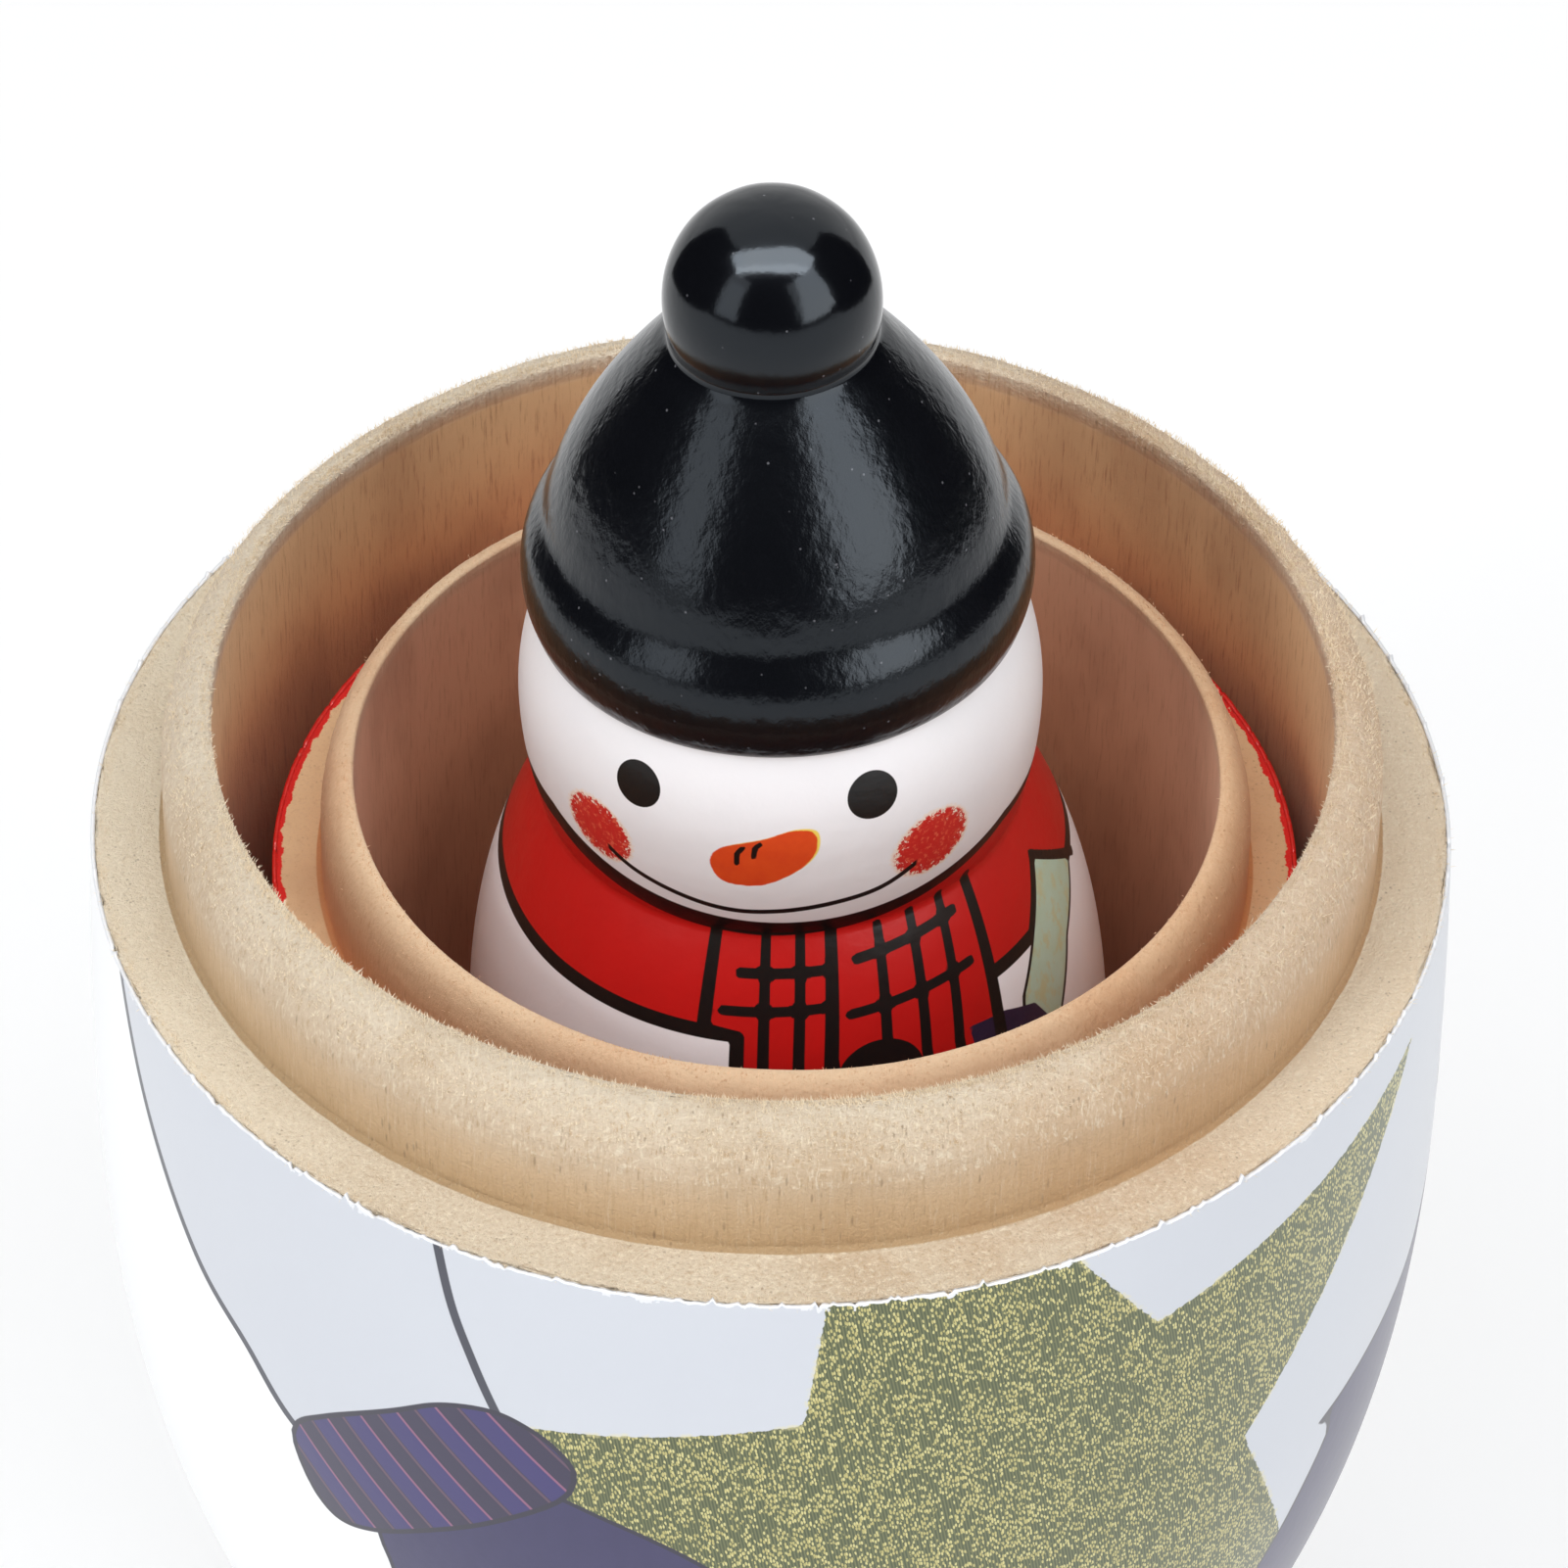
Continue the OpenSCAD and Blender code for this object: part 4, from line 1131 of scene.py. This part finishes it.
def dome_patch(name, radius, centre, turn, low, high, finish):
    """Part of a ball round the doll: turn is the angle from the front, low and high the rise at each turn."""
    up = np.linspace(0, 1, 9)[:, None]
    rise = low + (high - low) * up
    points = np.stack([radius * np.sin(turn) * np.cos(rise), -radius * np.cos(turn) * np.cos(rise),
                       radius * np.sin(rise) + centre], -1).reshape(-1, 3)
    wide = len(turn)
    corner = (np.arange(8)[:, None] * wide + np.arange(wide - 1)).ravel()
    quads = np.stack([corner, corner + 1, corner + wide + 1, corner + wide], -1)
    patch = staged(name, points.tolist(), quads.tolist())
    mirrored_only(patch, finish)


cloth = Finish("dark_curtain", 1.0, Specular_IOR_Level=0.0)
cloth.colour(cloth.lay(cloth.noise((0.01, 0.01, 0.01)), ink(18, 18, 20), ink(24, 24, 28)))
bend = np.linspace(-2.29, 2.29, 41)
upper_edge = 1.3 - 0.58 * np.clip((np.abs(bend) - 1.2) / 1.09, 0, 1)
dome_patch("curtain", 1.5, 0.05, bend, np.full(41, -0.02), upper_edge, cloth)
KNOB_LEVEL = 0.108
for name, side in (("flag_left", -1), ("flag_right", 1)):
    dome_patch(name, 0.3, KNOB_LEVEL, side * np.linspace(1.1, 2.29, 17),
               -0.36 * np.linspace(0, 1, 17) ** 0.7, np.full(17, 0.1), cloth)

# %% [markdown]
# ## Soft boxes
# Large soft boxes light the doll evenly from above and from both sides, and a small lamp at the left
# gives the shadow its direction. The windows that the hat mirrors are faces of their own, seen in
# reflections alone, so that their size and brightness can be set without changing the light.

# %% lamps
def soft_box(name, place, wide, tall, power, target=(0.0, 0.0, 0.08)):
    """A flat lamp at place, turned to face the target."""
    lamp_data = bpy.data.lights.new(name, "AREA")
    lamp_data.shape = "RECTANGLE"
    lamp_data.size, lamp_data.size_y = wide, tall
    lamp_data.energy = power
    lamp = bpy.data.objects.new(name, lamp_data)
    scene.collection.objects.link(lamp)
    towards = np.array(target) - np.array(place)
    z_axis = -towards / np.linalg.norm(towards)
    x_axis = np.cross([0.0, 0.0, 1.0] if abs(z_axis[2]) < 0.99 else [0.0, 1.0, 0.0], z_axis)
    x_axis /= np.linalg.norm(x_axis)
    grid = np.eye(4)
    grid[:3, 0], grid[:3, 1], grid[:3, 2], grid[:3, 3] = x_axis, np.cross(z_axis, x_axis), z_axis, place
    lamp.matrix_world = Matrix(grid.tolist())
    return lamp


soft_box("overhead_box", (0.0, -0.22, 0.98), wide=1.5, tall=0.5, power=7.4)
soft_box("left_box", (-0.78, -0.68, 0.55), wide=0.5, tall=0.95, power=2.0)
soft_box("right_box", (0.72, -0.72, 0.55), wide=0.7, tall=0.95, power=3.1)
key = soft_box("left_key", (-0.8, -0.8, 0.95), wide=0.3, tall=0.3, power=3.5)
key.visible_glossy = False
print("lamps", [lamp.name for lamp in bpy.data.lights])

# %% mirrored windows
def lit_face(name, strength):
    """Finish for the bright face of a soft box as the lacquer mirrors it."""
    face = Finish(name, 1.0)
    face.shader.inputs["Base Color"].default_value = (0.0, 0.0, 0.0, 1.0)
    shade = face.between(face.noise((0.002, 0.002, 0.002), 2.0), 0.3, 0.7)
    glow_ink = face.lay(shade, (0.95, 0.97, 1.0, 1.0), (1.0, 1.0, 1.0, 1.0))
    face.join(glow_ink, face.shader.inputs["Emission Color"])
    face.shader.inputs["Emission Strength"].default_value = strength
    return face


for side, first, last, highest, glow in (("left", -1.04, -0.66, 0.64, 2.0),
                                         ("right", 0.57, 1.24, 0.86, 4.0)):
    dome_patch(side + "_face", 0.8, KNOB_LEVEL, np.linspace(first, last, 5), np.full(5, 0.04),
               np.full(5, highest), lit_face(side + "_glow", glow))
top_corners = [(-0.75, -0.46, 0.95), (0.75, -0.46, 0.95), (0.75, 0.02, 0.98), (-0.75, 0.02, 0.98)]
top_face = staged("top_face", top_corners, [(0, 1, 2, 3)])
mirrored_only(top_face, lit_face("top_glow", 8.4))

# %% [markdown]
# ## The tent
# The white cloth of a light tent surrounds the doll. Seen by the camera or in a reflection it is plain
# white. As light it is much dimmer, because the soft boxes give most of the light.

# %% world
world = bpy.data.worlds.new("light_tent")
scene.world = world
world.use_nodes = True
sky = world.node_tree
rays = sky.nodes.new("ShaderNodeLightPath")
seen = rays.outputs["Is Camera Ray"]
for other in ("Is Glossy Ray", "Is Transmission Ray"):
    either = sky.nodes.new("ShaderNodeMath")
    either.operation = "MAXIMUM"
    sky.links.new(seen, either.inputs[0])
    sky.links.new(rays.outputs[other], either.inputs[1])
    seen = either.outputs[0]
TENT_LIGHT, SEEN_WHITE = 0.36, 1.0
level = sky.nodes.new("ShaderNodeMapRange")
level.inputs["To Min"].default_value = TENT_LIGHT
level.inputs["To Max"].default_value = SEEN_WHITE
sky.links.new(seen, level.inputs["Value"])
sky.nodes["Background"].inputs["Color"].default_value = (1.0, 1.0, 1.0, 1.0)
sky.links.new(level.outputs["Result"], sky.nodes["Background"].inputs["Strength"])
print("tent gives", TENT_LIGHT, "as light and", SEEN_WHITE, "where it is seen")
